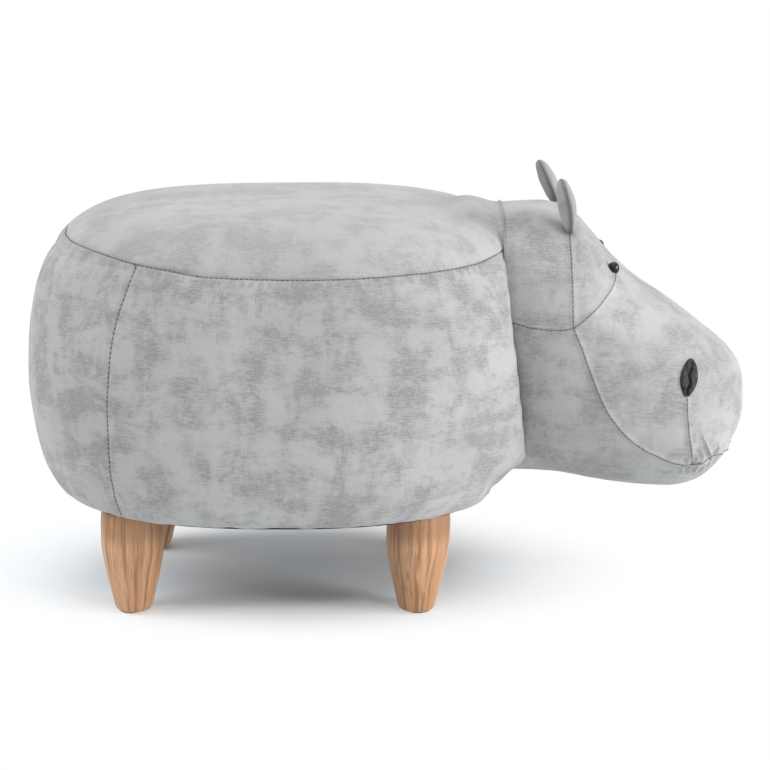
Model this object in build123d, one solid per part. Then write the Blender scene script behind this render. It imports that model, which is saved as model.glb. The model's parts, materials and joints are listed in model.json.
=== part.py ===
"""Hippo footstool: an upholstered oval seat on four turned wooden legs, with a stuffed head.

A plywood base and seat board are held apart by posts, a front board and a bent hardboard liner.
Foam wraps the liner and crowns the seat, and a sewn fabric cover is drawn over it and stapled
under the base. The head is a stuffed bag closed by a plate that is bolted to the front board.
Each leg screws on a hanger bolt into a T-nut pressed into the base board.

+X points to the nose, +Y to the animal's left, +Z up. The origin is on the floor, at the middle
of the whole outline. Sizes are in millimetres.
"""
import os
from math import cos, hypot, pi, sin

from build123d import *

os.makedirs("parts", exist_ok=True)

# Overall sizes
overall_length = 675.0
body_width = 360.0
floor_to_body = 100.8
floor_to_seam = 333.0
crown_height = 36.5
overrun = 5.0

# Body outline, at its widest
body_rear_x = -overall_length / 2
body_front_x = 156.0
body_middle_x = -93.0
wall_tuck = 40.0
# One row for each level of the wall: height, then how far the rear, front and sides tuck in.
wall_height_shares = (0, 0.014, 0.040, 0.074, 0.147, 0.276, 0.47, 0.643, 0.815, 0.944, 1)
rear_tuck_shares = (0.88, 0.64, 0.48, 0.35, 0.18, 0.07, 0, 0.03, 0.15, 0.47, 0.80)
front_tuck_shares = (1.35, 1.12, 0.90, 0.62, 0.33, 0.11, 0, 0.10, 0.35, 0.65, 0.83)
side_tuck_shares = (0.85, 0.62, 0.47, 0.36, 0.20, 0.07, 0, 0.04, 0.17, 0.38, 0.55)
# The crown is drawn at these shares of its height; it ends in a level patch.
crown_level_shares = (0.35, 0.60, 0.80, 0.93, 0.99)
crown_fullness_share = 0.16

# How round a section is: corner radius, then how far end and side corners stand back
body_round_shares = (0.57, 0.12, 0.085)
head_top_round_shares = (0.50, 0.050, 0.085)
head_bottom_round_shares = (0.60, 0.140, 0.085)

# Neck seam: a plane that leans back with height
neck_seam_x = 120.0
neck_seam_z = 235.0
neck_lean_deg = 6.9

# Head outline
head_back_x = 72.0
head_length = overall_length / 2 - head_back_x
head_half_width = 116.0
head_top_z = 366.0
head_bottom_z = 100.0
head_depth = head_top_z - head_bottom_z
# One row for each station from the back to the nose: place along the head, top, bottom and
# widest level as shares of the head's depth, and half width as a share of the widest.
station_shares = (
    0, 0.136, 0.200, 0.294, 0.388, 0.463, 0.539, 0.633, 0.727, 0.821, 0.889, 0.942, 0.979, 1)
top_shares = (
    0.985, 0.994, 1, 1, 0.970, 0.890, 0.803, 0.722, 0.668, 0.601, 0.546, 0.499, 0.454, 0.409)
bottom_shares = (
    0.12, 0.088, 0.066, 0.051, 0.040, 0.026, 0.013, 0.004, 0, 0.020, 0.068, 0.138, 0.210, 0.272)
widest_shares = (
    0.44, 0.439, 0.437, 0.430, 0.420, 0.401, 0.382, 0.352, 0.326, 0.310, 0.305, 0.315, 0.335, 0.350)
width_shares = (
    0.78, 0.828, 0.871, 0.931, 0.983, 1, 1, 0.991, 0.974, 0.922, 0.836, 0.716, 0.534, 0.293)

# Cover and padding
fabric_t = 1.2
cover_return = 26.0
dust_cover_t = 0.8
rear_seam_top_x = -218.0
rear_seam_middle_x = -245.0
rear_seam_bottom_x = -239.0
rear_seam_middle_z = 215.0

# Timber frame
board_t = 12.0
board_rear_x = -296.0
board_front_x = 94.0
board_half_width = 138.0
liner_t = 3.0
liner_inset = 3.0
seat_board_top = 325.0
front_board_x = 50.0
front_board_half_width = 94.0
post_side = 30.0
post_rear_x = -247.0
post_middle_x = -100.0
post_rear_y = 42.0
post_middle_y = 112.0
post_front_y = 58.0
screw_r = 2.0
screw_head_r = 4.0
screw_head_t = 2.5
screw_length = 40.0
front_screw_inset = 40.0
rear_foam_x = -240.0

# Head fixing
head_plate_t = 9.0
plate_margin = 12.0
neck_stub_half_width = 70.0
neck_stub_bottom = 140.0
neck_stub_corner = 32.0
bolt_r = 3.0
bolt_head_r = 7.0
bolt_head_t = 3.5
nut_r = 5.5
nut_t = 5.0
washer_r = 8.0
washer_t = 1.6
bolt_end = 2.0
head_bolt_y = 28.0
head_bolt_edge = 28.0
pocket_gap = 0.5

# Legs
pad_t = 2.0
pad_r = 11.0
leg_rear_x = -236.0
leg_front_x = 31.0
leg_y = 90.0
leg_foot_r = 14.0
foot_round = 1.6
leg_low_r = 24.6
leg_belly_r = 29.7
leg_neck_r = 29.5
leg_top_r = 28.6
leg_low_share = 0.37
leg_belly_share = 0.71
leg_neck_share = 0.86
thread_r = 4.0
thread_in_leg = 28.0
thread_in_nut = 14.0
t_nut_barrel_r = 5.0
t_nut_flange_r = 10.0
t_nut_flange_t = 1.5
t_nut_length = 10.0
prong_size = 2.0
prong_depth = 6.0
prong_count = 4

# Staples under the base
staple_count = 18
staple_width = 10.0
staple_wire = 0.8
staple_depth = 7.0
staple_inset = 4.0

# Ears
ear_height = 56.0
ear_width = 42.0
ear_thickness = 14.0
ear_y = 69.0
ear_root_x = 167.0
ear_sink = 8.0
ear_turn_deg = 12.0
ear_splay_deg = 8.0
right_ear_lean_deg = 5.0
left_ear_lean_deg = 16.0
ear_level_shares = (0, 0.16, 0.36, 0.60, 0.82, 0.95, 1)
ear_width_shares = (0.34, 0.66, 0.94, 1, 0.80, 0.46, 0.16)
ear_thickness_shares = (0.55, 0.85, 1, 0.95, 0.75, 0.48, 0.25)

# Eyes
eye_r = 5.5
eye_x = 210.0
eye_y = 50.0
eye_lift = 0.5
eye_stem_r = 2.0
eye_stem_length = 13.0
eye_washer_r = 8.0
eye_washer_t = 1.5
eye_washer_drop = 3.0

# Nostrils
nostril_t = 1.6
nostril_x = 276.5
nostril_z = 221.0
nostril_height = 36.0
nostril_width = 17.0
nostril_fullest_share = 0.58
nostril_tilt_deg = -6.0

# Head seams, seen from the side: places along the head and up its depth
side_seam_back_shares = (0, 0.675)
side_seam_dip_shares = (0.266, 0.650)
seam_meeting_shares = (0.373, 0.648)
ear_seam_middle_shares = (0.360, 0.85)
ear_seam_top_shares = (0.343, 1.136)
brow_middle_shares = (0.476, 0.722)
brow_eye_shares = (0.527, 0.827)
brow_top_shares = (0.535, 1.136)
mouth_high_shares = (0.460, 0.397)
mouth_turn_shares = (0.591, 0.239)
mouth_low_shares = (0.700, 0.178)
mouth_corner_shares = (0.862, 0.149)
mouth_front_shares = (1.085, 0.149)
head_far_share = 0.25


def unit(vector):
    """The vector over its own length."""
    length = hypot(*vector)
    return tuple(part / length for part in vector)


def quadrant(reach, half_width, round_shares):
    """Arc points of a quarter oval: end, end joint, corner, side joint and side arc's middle.

    A corner circle touches a flat end arc and a flat side arc, so the outline has no kink.
    """
    r = round_shares[0] * min(reach, half_width)
    end_inset = round_shares[1] * reach
    side_inset = round_shares[2] * half_width
    u = reach - end_inset - r
    v = half_width - side_inset - r
    end_r = (v * v + end_inset * end_inset + 2 * end_inset * r) / (2 * end_inset)
    side_r = (u * u + side_inset * side_inset + 2 * side_inset * r) / (2 * side_inset)
    to_end = unit((u - (reach - end_r), v))
    to_side = unit((u, v - (half_width - side_r)))
    between = unit((to_end[0] + to_side[0], to_end[1] + to_side[1]))
    halfway = unit((to_side[0], to_side[1] + 1))
    end_joint = (u + r * to_end[0], v + r * to_end[1])
    corner = (u + r * between[0], v + r * between[1])
    side_joint = (u + r * to_side[0], v + r * to_side[1])
    side = (side_r * halfway[0], half_width - side_r + side_r * halfway[1])
    return end_joint, corner, side_joint, side


def oval(plane, low, high, middle, half_width, high_round_shares, low_round_shares):
    """A closed outline of ten arcs on the plane, symmetric about its x axis."""
    fore = quadrant(high - middle, half_width, high_round_shares)
    aft = quadrant(middle - low, half_width, low_round_shares)

    def at(point, way, side):
        return plane.from_local_coords((middle + way * point[0], side * point[1], 0))

    def end(x):
        return plane.from_local_coords((x, 0, 0))

    def flank(side):
        return plane.from_local_coords((middle, side * half_width, 0))

    edges = [ThreePointArc(at(fore[0], 1, -1), end(high), at(fore[0], 1, 1))]
    edges += [ThreePointArc(at(fore[0], 1, 1), at(fore[1], 1, 1), at(fore[2], 1, 1))]
    edges += [ThreePointArc(at(fore[2], 1, 1), at(fore[3], 1, 1), flank(1))]
    edges += [ThreePointArc(flank(1), at(aft[3], -1, 1), at(aft[2], -1, 1))]
    edges += [ThreePointArc(at(aft[2], -1, 1), at(aft[1], -1, 1), at(aft[0], -1, 1))]
    edges += [ThreePointArc(at(aft[0], -1, 1), end(low), at(aft[0], -1, -1))]
    edges += [ThreePointArc(at(aft[0], -1, -1), at(aft[1], -1, -1), at(aft[2], -1, -1))]
    edges += [ThreePointArc(at(aft[2], -1, -1), at(aft[3], -1, -1), flank(-1))]
    edges += [ThreePointArc(flank(-1), at(fore[3], 1, -1), at(fore[2], 1, -1))]
    edges += [ThreePointArc(at(fore[2], 1, -1), at(fore[1], 1, -1), at(fore[0], 1, -1))]
    return Wire(edges)


def level_oval(z, rear, front, half_width):
    """A level body section."""
    plane = Plane.XY.offset(z)
    return oval(plane, rear, front, body_middle_x, half_width, body_round_shares, body_round_shares)


def prism(rear, front, half_width, bottom, top):
    """An upright oval block, for boards and what fits round them."""
    base = Face(level_oval(bottom, rear, front, half_width))
    return Solid.extrude(base, Vector(0, 0, top - bottom))


def block(x0, x1, y0, y1, z0, z1):
    """A box between two corners."""
    return Solid.make_box(x1 - x0, y1 - y0, z1 - z0, Plane((x0, y0, z0)))


def wall_form(inset):
    """The body from its underside to the top seam, drawn in by inset."""
    bottom = floor_to_body + inset
    rows = zip(wall_height_shares, rear_tuck_shares, front_tuck_shares, side_tuck_shares)
    sections = []
    for height, rear, front, side in rows:
        z = bottom + height * (floor_to_seam - bottom)
        rear_x = body_rear_x + rear * wall_tuck + inset
        front_x = body_front_x - front * wall_tuck - inset
        sections.append(level_oval(z, rear_x, front_x, body_width / 2 - side * wall_tuck - inset))
    return Solid.make_loft(sections)


def crown_form(inset):
    """The domed seat top above the seam, drawn in by inset."""
    rear = body_rear_x + rear_tuck_shares[-1] * wall_tuck + inset
    front = body_front_x - front_tuck_shares[-1] * wall_tuck - inset
    half_width = body_width / 2 - side_tuck_shares[-1] * wall_tuck - inset
    sections = [level_oval(floor_to_seam, rear, front, half_width)]
    for level in crown_level_shares:
        shrink = (1 - level * level) ** crown_fullness_share
        rear_x = body_middle_x + shrink * (rear - body_middle_x)
        front_x = body_middle_x + shrink * (front - body_middle_x)
        z = floor_to_seam + level * (crown_height - inset)
        sections.append(level_oval(z, rear_x, front_x, shrink * half_width))
    return Solid.make_loft(sections)


def head_form(inset):
    """The whole head from inside the body to the nose, drawn in by inset."""
    sections = []
    rows = zip(station_shares, top_shares, bottom_shares, widest_shares, width_shares)
    for station, top, bottom, widest, width in rows:
        x = head_back_x + station * (head_length - inset)
        plane = Plane(origin=(x, 0, 0), x_dir=(0, 0, 1), z_dir=(-1, 0, 0))
        low = head_bottom_z + bottom * head_depth + inset
        high = head_bottom_z + top * head_depth - inset
        middle = head_bottom_z + widest * head_depth
        half_width = width * head_half_width - inset
        sections.append(oval(plane, low, high, middle, half_width,
                             head_top_round_shares, head_bottom_round_shares))
    return Solid.make_loft(sections)


def neck_side(ahead, shift=0):
    """All the space ahead of the neck seam's plane, or behind it."""
    reach = overall_length
    start = shift if ahead else shift - reach
    space = block(start, start + reach, -reach, reach, -reach, reach)
    space = space.rotate(Axis.Y, -neck_lean_deg)
    return space.translate(Vector(neck_seam_x, 0, neck_seam_z))


def largest(result):
    """The biggest solid that a cut or a meeting leaves."""
    return max(result.solids(), key=lambda solid: solid.volume)


def cut(solid, *tools):
    """The solid less the tools."""
    for tool in tools:
        solid = largest(solid - tool)
    return solid


def meet(solid, *tools):
    """What the solid shares with all the tools."""
    for tool in tools:
        solid = largest(solid & tool)
    return solid


# Levels and places worked out from the sizes
base_bottom = floor_to_body + fabric_t
base_top = base_bottom + board_t
seat_board_bottom = seat_board_top - board_t
front_board_face = front_board_x + board_t
plate_face = front_board_face + head_plate_t
dust_bottom = floor_to_body - dust_cover_t
far = overall_length
leg_places = {
    "rear_left": (leg_rear_x, leg_y),
    "rear_right": (leg_rear_x, -leg_y),
    "front_left": (leg_front_x, leg_y),
    "front_right": (leg_front_x, -leg_y),
}
post_places = {
    "rear_left": (post_rear_x, post_rear_y),
    "rear_right": (post_rear_x, -post_rear_y),
    "middle_left": (post_middle_x, post_middle_y),
    "middle_right": (post_middle_x, -post_middle_y),
    "front_left": (front_board_x - post_side / 2, post_front_y),
    "front_right": (front_board_x - post_side / 2, -post_front_y),
}

# Spaces that divide the whole forms
ahead_of_neck = neck_side(True)
behind_neck = neck_side(False)
above_seam = block(-far, far, -far, far, floor_to_seam, far)
below_seam = block(-far, far, -far, far, -far, floor_to_seam)
below_seat = block(-far, far, -far, far, -far, seat_board_top)
above_seat = block(-far, far, -far, far, seat_board_top, far)
right_half = block(-far, far, -far, 0, -far, far)
left_half = block(-far, far, 0, far, -far, far)


def body_form(inset):
    """Wall, crown and the neck's swelling as one solid."""
    body = wall_form(inset) + crown_form(inset)
    return body + meet(head_form(inset), behind_neck)


def upright_oblong(x0, x1, half_width, bottom, top, corner):
    """A block along x with four rounded long edges."""
    solid = block(x0, x1, -half_width, half_width, bottom, top)
    return solid.fillet(corner, solid.edges().filter_by(Axis.X))


def rod(start, direction, radius, length):
    """A round bar from a point along a direction."""
    return Solid.make_cylinder(radius, length, Plane(origin=start, z_dir=direction))


# Whole forms
head_outer, head_inner = head_form(0), head_form(fabric_t)
body_outer = meet(body_form(0), behind_neck)
body_inner = meet(body_form(fabric_t), neck_side(False, -fabric_t))
neck_opening = upright_oblong(front_board_face, neck_seam_x + neck_stub_corner, neck_stub_half_width,
                              neck_stub_bottom, seat_board_bottom, neck_stub_corner)
neck_stub = neck_opening & block(plate_face, far, -far, far, 0, far)
nodes = {}


# Timber frame
def make_frame():
    """Base board, seat board, front board, liner, posts and the screws that join them."""
    base = prism(board_rear_x, board_front_x, board_half_width, base_bottom, base_top)
    seat = prism(board_rear_x, board_front_x, board_half_width, seat_board_bottom, seat_board_top)
    front = block(front_board_x, front_board_face, -front_board_half_width, front_board_half_width,
                  base_top, seat_board_bottom)
    liner = cut(core_form(liner_inset), core_form(liner_inset + liner_t))
    half = post_side / 2
    posts = {}
    screws = []
    for name, (x, y) in post_places.items():
        post = block(x - half, x + half, y - half, y + half, base_top, seat_board_bottom)
        up = screw((x, y, base_bottom), (0, 0, 1))
        down = screw((x, y, seat_board_top), (0, 0, -1))
        screws += [up, down]
        posts[name] = cut(post, up, down)
        base, seat = cut(base, up), cut(seat, down)
        if "front" in name:
            for z in (base_top + front_screw_inset, seat_board_bottom - front_screw_inset):
                across = screw((front_board_face, y, z), (-1, 0, 0))
                screws.append(across)
                posts[name] = cut(posts[name], across)
                front = cut(front, across)
    for name, post in posts.items():
        nodes["frame_post_" + name] = post
    nodes["frame_screws"] = Compound(screws)
    nodes["wall_liner"] = liner
    return base, seat, front


def core_form(inset):
    """The hollow between the boards behind the front board, drawn in from the boards' edge."""
    core = prism(board_rear_x + inset, board_front_x - inset, board_half_width - inset,
                 base_top, seat_board_bottom)
    return meet(core, block(-far, front_board_x, -far, far, 0, far))


def screw(start, direction):
    """A wood screw with its head flush with the board that it enters."""
    head = rod(start, direction, screw_head_r, screw_head_t)
    return head + rod(start, direction, screw_r, screw_length)


# Head plate and its fixings
def make_head_plate(front):
    """The plate in the neck, bolted through the front board with washers and nuts behind it."""
    reach = neck_stub_half_width - plate_margin
    bottom, top = neck_stub_bottom + plate_margin, seat_board_bottom - plate_margin
    plate = block(front_board_face, plate_face, -reach, reach, bottom, top)
    bolts, washers, nuts = [], [], []
    back = Vector(-1, 0, 0)
    grip = plate_face - front_board_x + washer_t + nut_t + bolt_end
    for y in (-head_bolt_y, head_bolt_y):
        for z in (bottom + head_bolt_edge, top - head_bolt_edge):
            shank = rod((plate_face, y, z), back, bolt_r, grip)
            bolts.append(shank + rod((plate_face, y, z), -back, bolt_head_r, bolt_head_t))
            plate, front = cut(plate, shank), cut(front, shank)
            washers.append(cut(rod((front_board_x, y, z), back, washer_r, washer_t), shank))
            nut_start = Plane(origin=(front_board_x - washer_t, y, z), z_dir=back)
            nut = Solid.extrude(nut_start * Face(Wire.make_polygon(hexagon())), back * nut_t)
            nuts.append(cut(nut, shank))
    nodes["head_plate"] = plate
    nodes["head_bolts"] = Compound(bolts)
    nodes["head_washers"] = Compound(washers)
    nodes["head_nuts"] = Compound(nuts)
    nodes["front_board"] = front
    pocket = bolt_head_r + pocket_gap
    return [rod((plate_face, y, z), -back, pocket, bolt_head_t + pocket_gap)
            for y in (-head_bolt_y, head_bolt_y)
            for z in (bottom + head_bolt_edge, top - head_bolt_edge)]


def hexagon():
    """Corners of a nut's outline."""
    return [(nut_r * cos(k * pi / 3), nut_r * sin(k * pi / 3), 0) for k in range(6)]


# Legs
def make_legs(base, dust):
    """Four turned legs, each with a felt pad, a hanger bolt and a T-nut in the base board."""
    for name, (x, y) in leg_places.items():
        bolt = rod((x, y, dust_bottom - thread_in_leg), (0, 0, 1), thread_r,
                   thread_in_leg + base_top - dust_bottom)
        nut = cut(t_nut().translate(Vector(x, y, base_top)), bolt)
        base = cut(base, nut, bolt)
        dust = cut(dust, bolt)
        nodes["leg_" + name] = cut(leg().translate(Vector(x, y, 0)), bolt)
        nodes["hanger_bolt_" + name] = bolt
        nodes["t_nut_" + name] = nut
        nodes["felt_pad_" + name] = rod((x, y, 0), (0, 0, 1), pad_r, pad_t)
    return base, dust


def leg():
    """A round leg that swells towards the top, with a softened foot."""
    height = dust_bottom - pad_t

    def at(r, share):
        return (r, 0, pad_t + share * height)

    edges = [Line(at(0, 0), at(leg_foot_r, 0))]
    belly, top = at(leg_belly_r, leg_belly_share), at(leg_top_r, 1)
    edges += [ThreePointArc(at(leg_foot_r, 0), at(leg_low_r, leg_low_share), belly)]
    edges += [ThreePointArc(belly, at(leg_neck_r, leg_neck_share), top)]
    edges += [Line(top, at(0, 1)), Line(at(0, 1), at(0, 0))]
    solid = Solid.revolve(Face(Wire(edges)), 360, Axis.Z)
    foot = solid.edges().filter_by(GeomType.CIRCLE).sort_by(Axis.Z)[0]
    return solid.fillet(foot_round, [foot])


def t_nut():
    """A flanged nut that hangs from the board's top, with prongs that bite into the board."""
    down = (0, 0, -1)
    nut = rod((0, 0, t_nut_flange_t), down, t_nut_flange_r, t_nut_flange_t)
    nut = nut + rod((0, 0, t_nut_flange_t), down, t_nut_barrel_r, t_nut_length + t_nut_flange_t)
    half = prong_size / 2
    outer = t_nut_flange_r - half
    prong = block(outer - prong_size, outer, -half, half, -prong_depth, t_nut_flange_t)
    for k in range(prong_count):
        nut = nut + prong.rotate(Axis.Z, 360 * k / prong_count)
    return nut


# Dust cover
def make_dust_cover():
    """The thin black cloth under the base."""
    return prism(board_rear_x, board_front_x, board_half_width, dust_bottom, floor_to_body)


def make_staples():
    """Wire staples round the dust cover's edge, their legs driven up into the base board."""
    route = level_oval(dust_bottom, board_rear_x + staple_inset, board_front_x - staple_inset,
                       board_half_width - staple_inset)
    staples = []
    half = staple_width / 2
    crown = block(-half, half, -staple_wire / 2, staple_wire / 2, -staple_wire, 0)
    right_leg = block(half - staple_wire, half, -staple_wire / 2, staple_wire / 2, -staple_wire, staple_depth)
    left_leg = block(-half, staple_wire - half, -staple_wire / 2, staple_wire / 2, -staple_wire, staple_depth)
    shape = crown + right_leg + left_leg
    for k in range(staple_count):
        share = (k + 0.5) / staple_count
        point, along = route.position_at(share), route.tangent_at(share)
        if clear_of_legs(point):
            staples.append(Plane(origin=point, x_dir=along, z_dir=(0, 0, 1)).location * shape)
    return staples


def clear_of_legs(point):
    """Whether a staple at the point would miss the top of every leg."""
    reach = leg_neck_r + staple_width
    return all(hypot(point.X - x, point.Y - y) > reach for x, y in leg_places.values())


# Padding of the body
def make_padding():
    """Foam round the liner in four pieces, and the crowned foam of the seat."""
    hull = meet(body_inner, below_seat)
    hull = cut(hull, prism(board_rear_x, board_front_x, board_half_width, -overrun, base_top))
    hull = cut(hull, prism(board_rear_x, board_front_x, board_half_width, seat_board_bottom, far))
    hull = cut(hull, core_form(liner_inset), block(front_board_x, front_board_face, -front_board_half_width,
                                                   front_board_half_width, base_top, seat_board_bottom))
    ahead = block(front_board_face, far, -far, far, -far, far)
    nodes["wall_foam_front"] = cut(meet(hull, ahead), neck_opening)
    nodes["wall_foam_rear"] = meet(hull, block(-far, rear_foam_x, -far, far, -far, far))
    middle = block(rear_foam_x, front_board_face, -far, far, -far, far)
    nodes["wall_foam_right"] = meet(hull, right_half, middle)
    nodes["wall_foam_left"] = meet(hull, left_half, middle)
    nodes["seat_foam"] = meet(body_inner, above_seat)


# Cover of the body
def make_body_cover(staples):
    """Top, side and rear panels, turned in over the neck's face and under the base board."""
    shell = cut(body_outer, body_inner, neck_stub)
    opening = prism(board_rear_x + cover_return, board_front_x - cover_return,
                    board_half_width - cover_return, -overrun, base_bottom + overrun)
    shell = cut(shell, opening)
    nodes["cover_top_panel"] = meet(shell, above_seam)
    wall = meet(shell, below_seam)
    rear = rear_space()
    pieces = {"cover_rear_panel": meet(wall, rear)}
    pieces["cover_right_panel"] = cut(meet(wall, right_half), rear)
    pieces["cover_left_panel"] = cut(meet(wall, left_half), rear)
    bolts = [nodes["hanger_bolt_" + name] for name in leg_places]
    for name, piece in pieces.items():
        nodes[name] = cut(piece, *staples, *bolts)


def rear_space():
    """Everything behind the two rear seams."""
    top = (rear_seam_top_x, 0, floor_to_seam)
    middle = (rear_seam_middle_x, 0, rear_seam_middle_z)
    bottom = (rear_seam_bottom_x, 0, floor_to_body)
    low, high = floor_to_body - overrun, floor_to_seam + overrun
    edges = [ThreePointArc(top, middle, bottom)]
    edges += path(bottom, (rear_seam_bottom_x, 0, low), (-far, 0, low), (-far, 0, high),
                  (rear_seam_top_x, 0, high), top)
    return side_slab(edges)


def path(*points):
    """Straight runs through the points."""
    return [Line(a, b) for a, b in zip(points, points[1:])]


def side_slab(edges):
    """A closed side-view outline pushed right through the object, from side to side."""
    face = Face(Wire(edges)).translate(Vector(0, -far / 2, 0))
    return Solid.extrude(face, Vector(0, far, 0))


# Head
def head_point(shares):
    """A point on the side view of the head, from its shares along the head and up its depth."""
    return (head_back_x + shares[0] * head_length, 0, head_bottom_z + shares[1] * head_depth)


def head_arc(*names):
    """An arc through three points of the side view."""
    return ThreePointArc(*[head_point(name) for name in names])


def head_spaces():
    """What lies over the side seam, over the brow, and under the mouth seam."""
    behind, back_level = -head_far_share, side_seam_back_shares[1]
    back, far_back = head_point(side_seam_back_shares), head_point((behind, back_level))
    side_seam = head_arc(side_seam_back_shares, side_seam_dip_shares, seam_meeting_shares)
    ear_seam = head_arc(seam_meeting_shares, ear_seam_middle_shares, ear_seam_top_shares)
    brow = head_arc(seam_meeting_shares, brow_middle_shares, brow_eye_shares)
    mouth = [head_arc(seam_meeting_shares, mouth_high_shares, mouth_turn_shares)]
    mouth += [head_arc(mouth_turn_shares, mouth_low_shares, mouth_corner_shares)]
    mouth += path(head_point(mouth_corner_shares), head_point(mouth_front_shares))
    ear_top = head_point(ear_seam_top_shares)
    crown = [side_seam, ear_seam]
    crown += path(ear_top, head_point((behind, ear_seam_top_shares[1])), far_back, back)
    forehead = [ear_seam, brow]
    forehead += path(head_point(brow_eye_shares), head_point(brow_top_shares), ear_top)
    front, under = mouth_front_shares[0], -head_far_share
    jaw = [side_seam] + mouth
    jaw += path(head_point(mouth_front_shares), head_point((front, under)),
                head_point((behind, under)), far_back, back)
    return side_slab(crown), side_slab(forehead), side_slab(jaw)


def make_head(pockets):
    """The stuffing with its neck stub, and the four sewn panels round it."""
    filling = meet(head_inner, ahead_of_neck) + meet(neck_stub, behind_neck)
    filling = cut(largest(filling), *pockets)
    shell = cut(meet(head_outer, ahead_of_neck), head_inner)
    crown, forehead, jaw = head_spaces()
    panels = {"head_crown_panel": meet(shell, crown), "head_forehead_panel": meet(shell, forehead)}
    panels["head_jaw_panel"] = meet(shell, jaw)
    panels["head_muzzle_panel"] = cut(shell, crown, forehead, jaw)
    return filling, panels


def surface_point(x, y):
    """The point of the head's top over a place in plan, and the way that the surface faces there."""
    hits = head_outer.find_intersection_points(Axis((x, y, 0), (0, 0, 1)))
    point, normal = max(hits, key=lambda hit: hit[0].Z)
    return point, normal if normal.Z > 0 else -normal


def make_eyes(filling, panels):
    """Domed eyes on stems through the brow seam, each held by a washer in the stuffing."""
    washers = []
    for name, side in (("left", 1), ("right", -1)):
        seat, outward = surface_point(eye_x, side * eye_y)
        middle = seat + outward * eye_lift
        dome = cut(Solid.make_sphere(eye_r, angle1=-90, angle2=90, angle3=360).translate(middle), head_outer)
        stem = rod(middle, -outward, eye_stem_r, eye_stem_length)
        eye = dome + stem
        washer = rod(seat - outward * (fabric_t + eye_washer_drop), -outward, eye_washer_r, eye_washer_t)
        washers.append(cut(washer, stem))
        filling = cut(filling, stem, washer)
        for panel in ("head_forehead_panel", "head_muzzle_panel"):
            panels[panel] = cut(panels[panel], stem)
        nodes["eye_" + name] = largest(eye)
    nodes["eye_washers"] = Compound(washers)
    nodes["head_filling"] = filling
    nodes.update(panels)


def make_ears():
    """Two stuffed ears, thin at the edges, sewn to the crown panel over the ear seam."""
    for name, side, lean in (("left", 1, left_ear_lean_deg), ("right", -1, right_ear_lean_deg)):
        root, _ = surface_point(ear_root_x, side * ear_y)
        sections = []
        for level, width, thickness in zip(ear_level_shares, ear_width_shares, ear_thickness_shares):
            plane = Plane(origin=(0, 0, level * (ear_height + ear_sink)), x_dir=(0, 1, 0), z_dir=(0, 0, 1))
            sections.append(lens(plane, width * ear_width, thickness * ear_thickness))
        ear = Solid.make_loft(sections)
        ear = ear.rotate(Axis.Z, side * ear_turn_deg).rotate(Axis.Y, -lean)
        ear = ear.rotate(Axis.X, -side * ear_splay_deg)
        nodes["ear_" + name] = cut(ear.translate(root - Vector(0, 0, ear_sink)), head_outer)


def lens(plane, width, thickness):
    """Two arcs that meet at the edges of a stuffed ear."""
    def at(x, y):
        return plane.from_local_coords((x, y, 0))

    right, left = at(-width / 2, 0), at(width / 2, 0)
    face = ThreePointArc(right, at(0, thickness / 2), left)
    return Wire([face, ThreePointArc(left, at(0, -thickness / 2), right)])


def make_nostrils():
    """Leaf-shaped patches that lie on the muzzle panel."""
    high = Vector(0, 0, nostril_height / 2)
    wide = Vector(nostril_width / 2, 0, 0)
    full = high * (2 * nostril_fullest_share - 1)
    edges = [ThreePointArc(-high, full + wide, high), ThreePointArc(high, full - wide, -high)]
    for name, way in (("left", 1), ("right", -1)):
        leaf = Solid.extrude(Face(Wire(edges)), Vector(0, way * far / 2, 0))
        leaf = leaf.rotate(Axis.Y, nostril_tilt_deg).translate(Vector(nostril_x, 0, nostril_z))
        nodes["nostril_" + name] = cut(meet(leaf, head_form(-nostril_t)), head_outer)


def build():
    """Makes every piece and writes one file for each."""
    base, seat, front = make_frame()
    pockets = make_head_plate(front)
    base, dust = make_legs(base, make_dust_cover())
    staples = make_staples()
    make_padding()
    make_body_cover(staples)
    make_eyes(*make_head(pockets))
    make_ears()
    make_nostrils()
    nodes["base_board"] = cut(base, *staples)
    nodes["seat_board"] = seat
    nodes["dust_cover"] = cut(dust, *staples)
    nodes["dust_cover_staples"] = Compound(staples)
    for name, shape in nodes.items():
        export_step(shape, f"parts/{name}.step")
    print(len(nodes), "pieces written")


build()
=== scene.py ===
"""Looks for the hippo footstool: sewn fabric body and head, ears, nostrils, wooden legs, studio."""
import json
from math import cos, pi, radians, sin, tan

import bpy
import numpy as np
from bpy.props import FloatProperty, FloatVectorProperty, PointerProperty
from mathutils import Matrix, Vector

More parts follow.
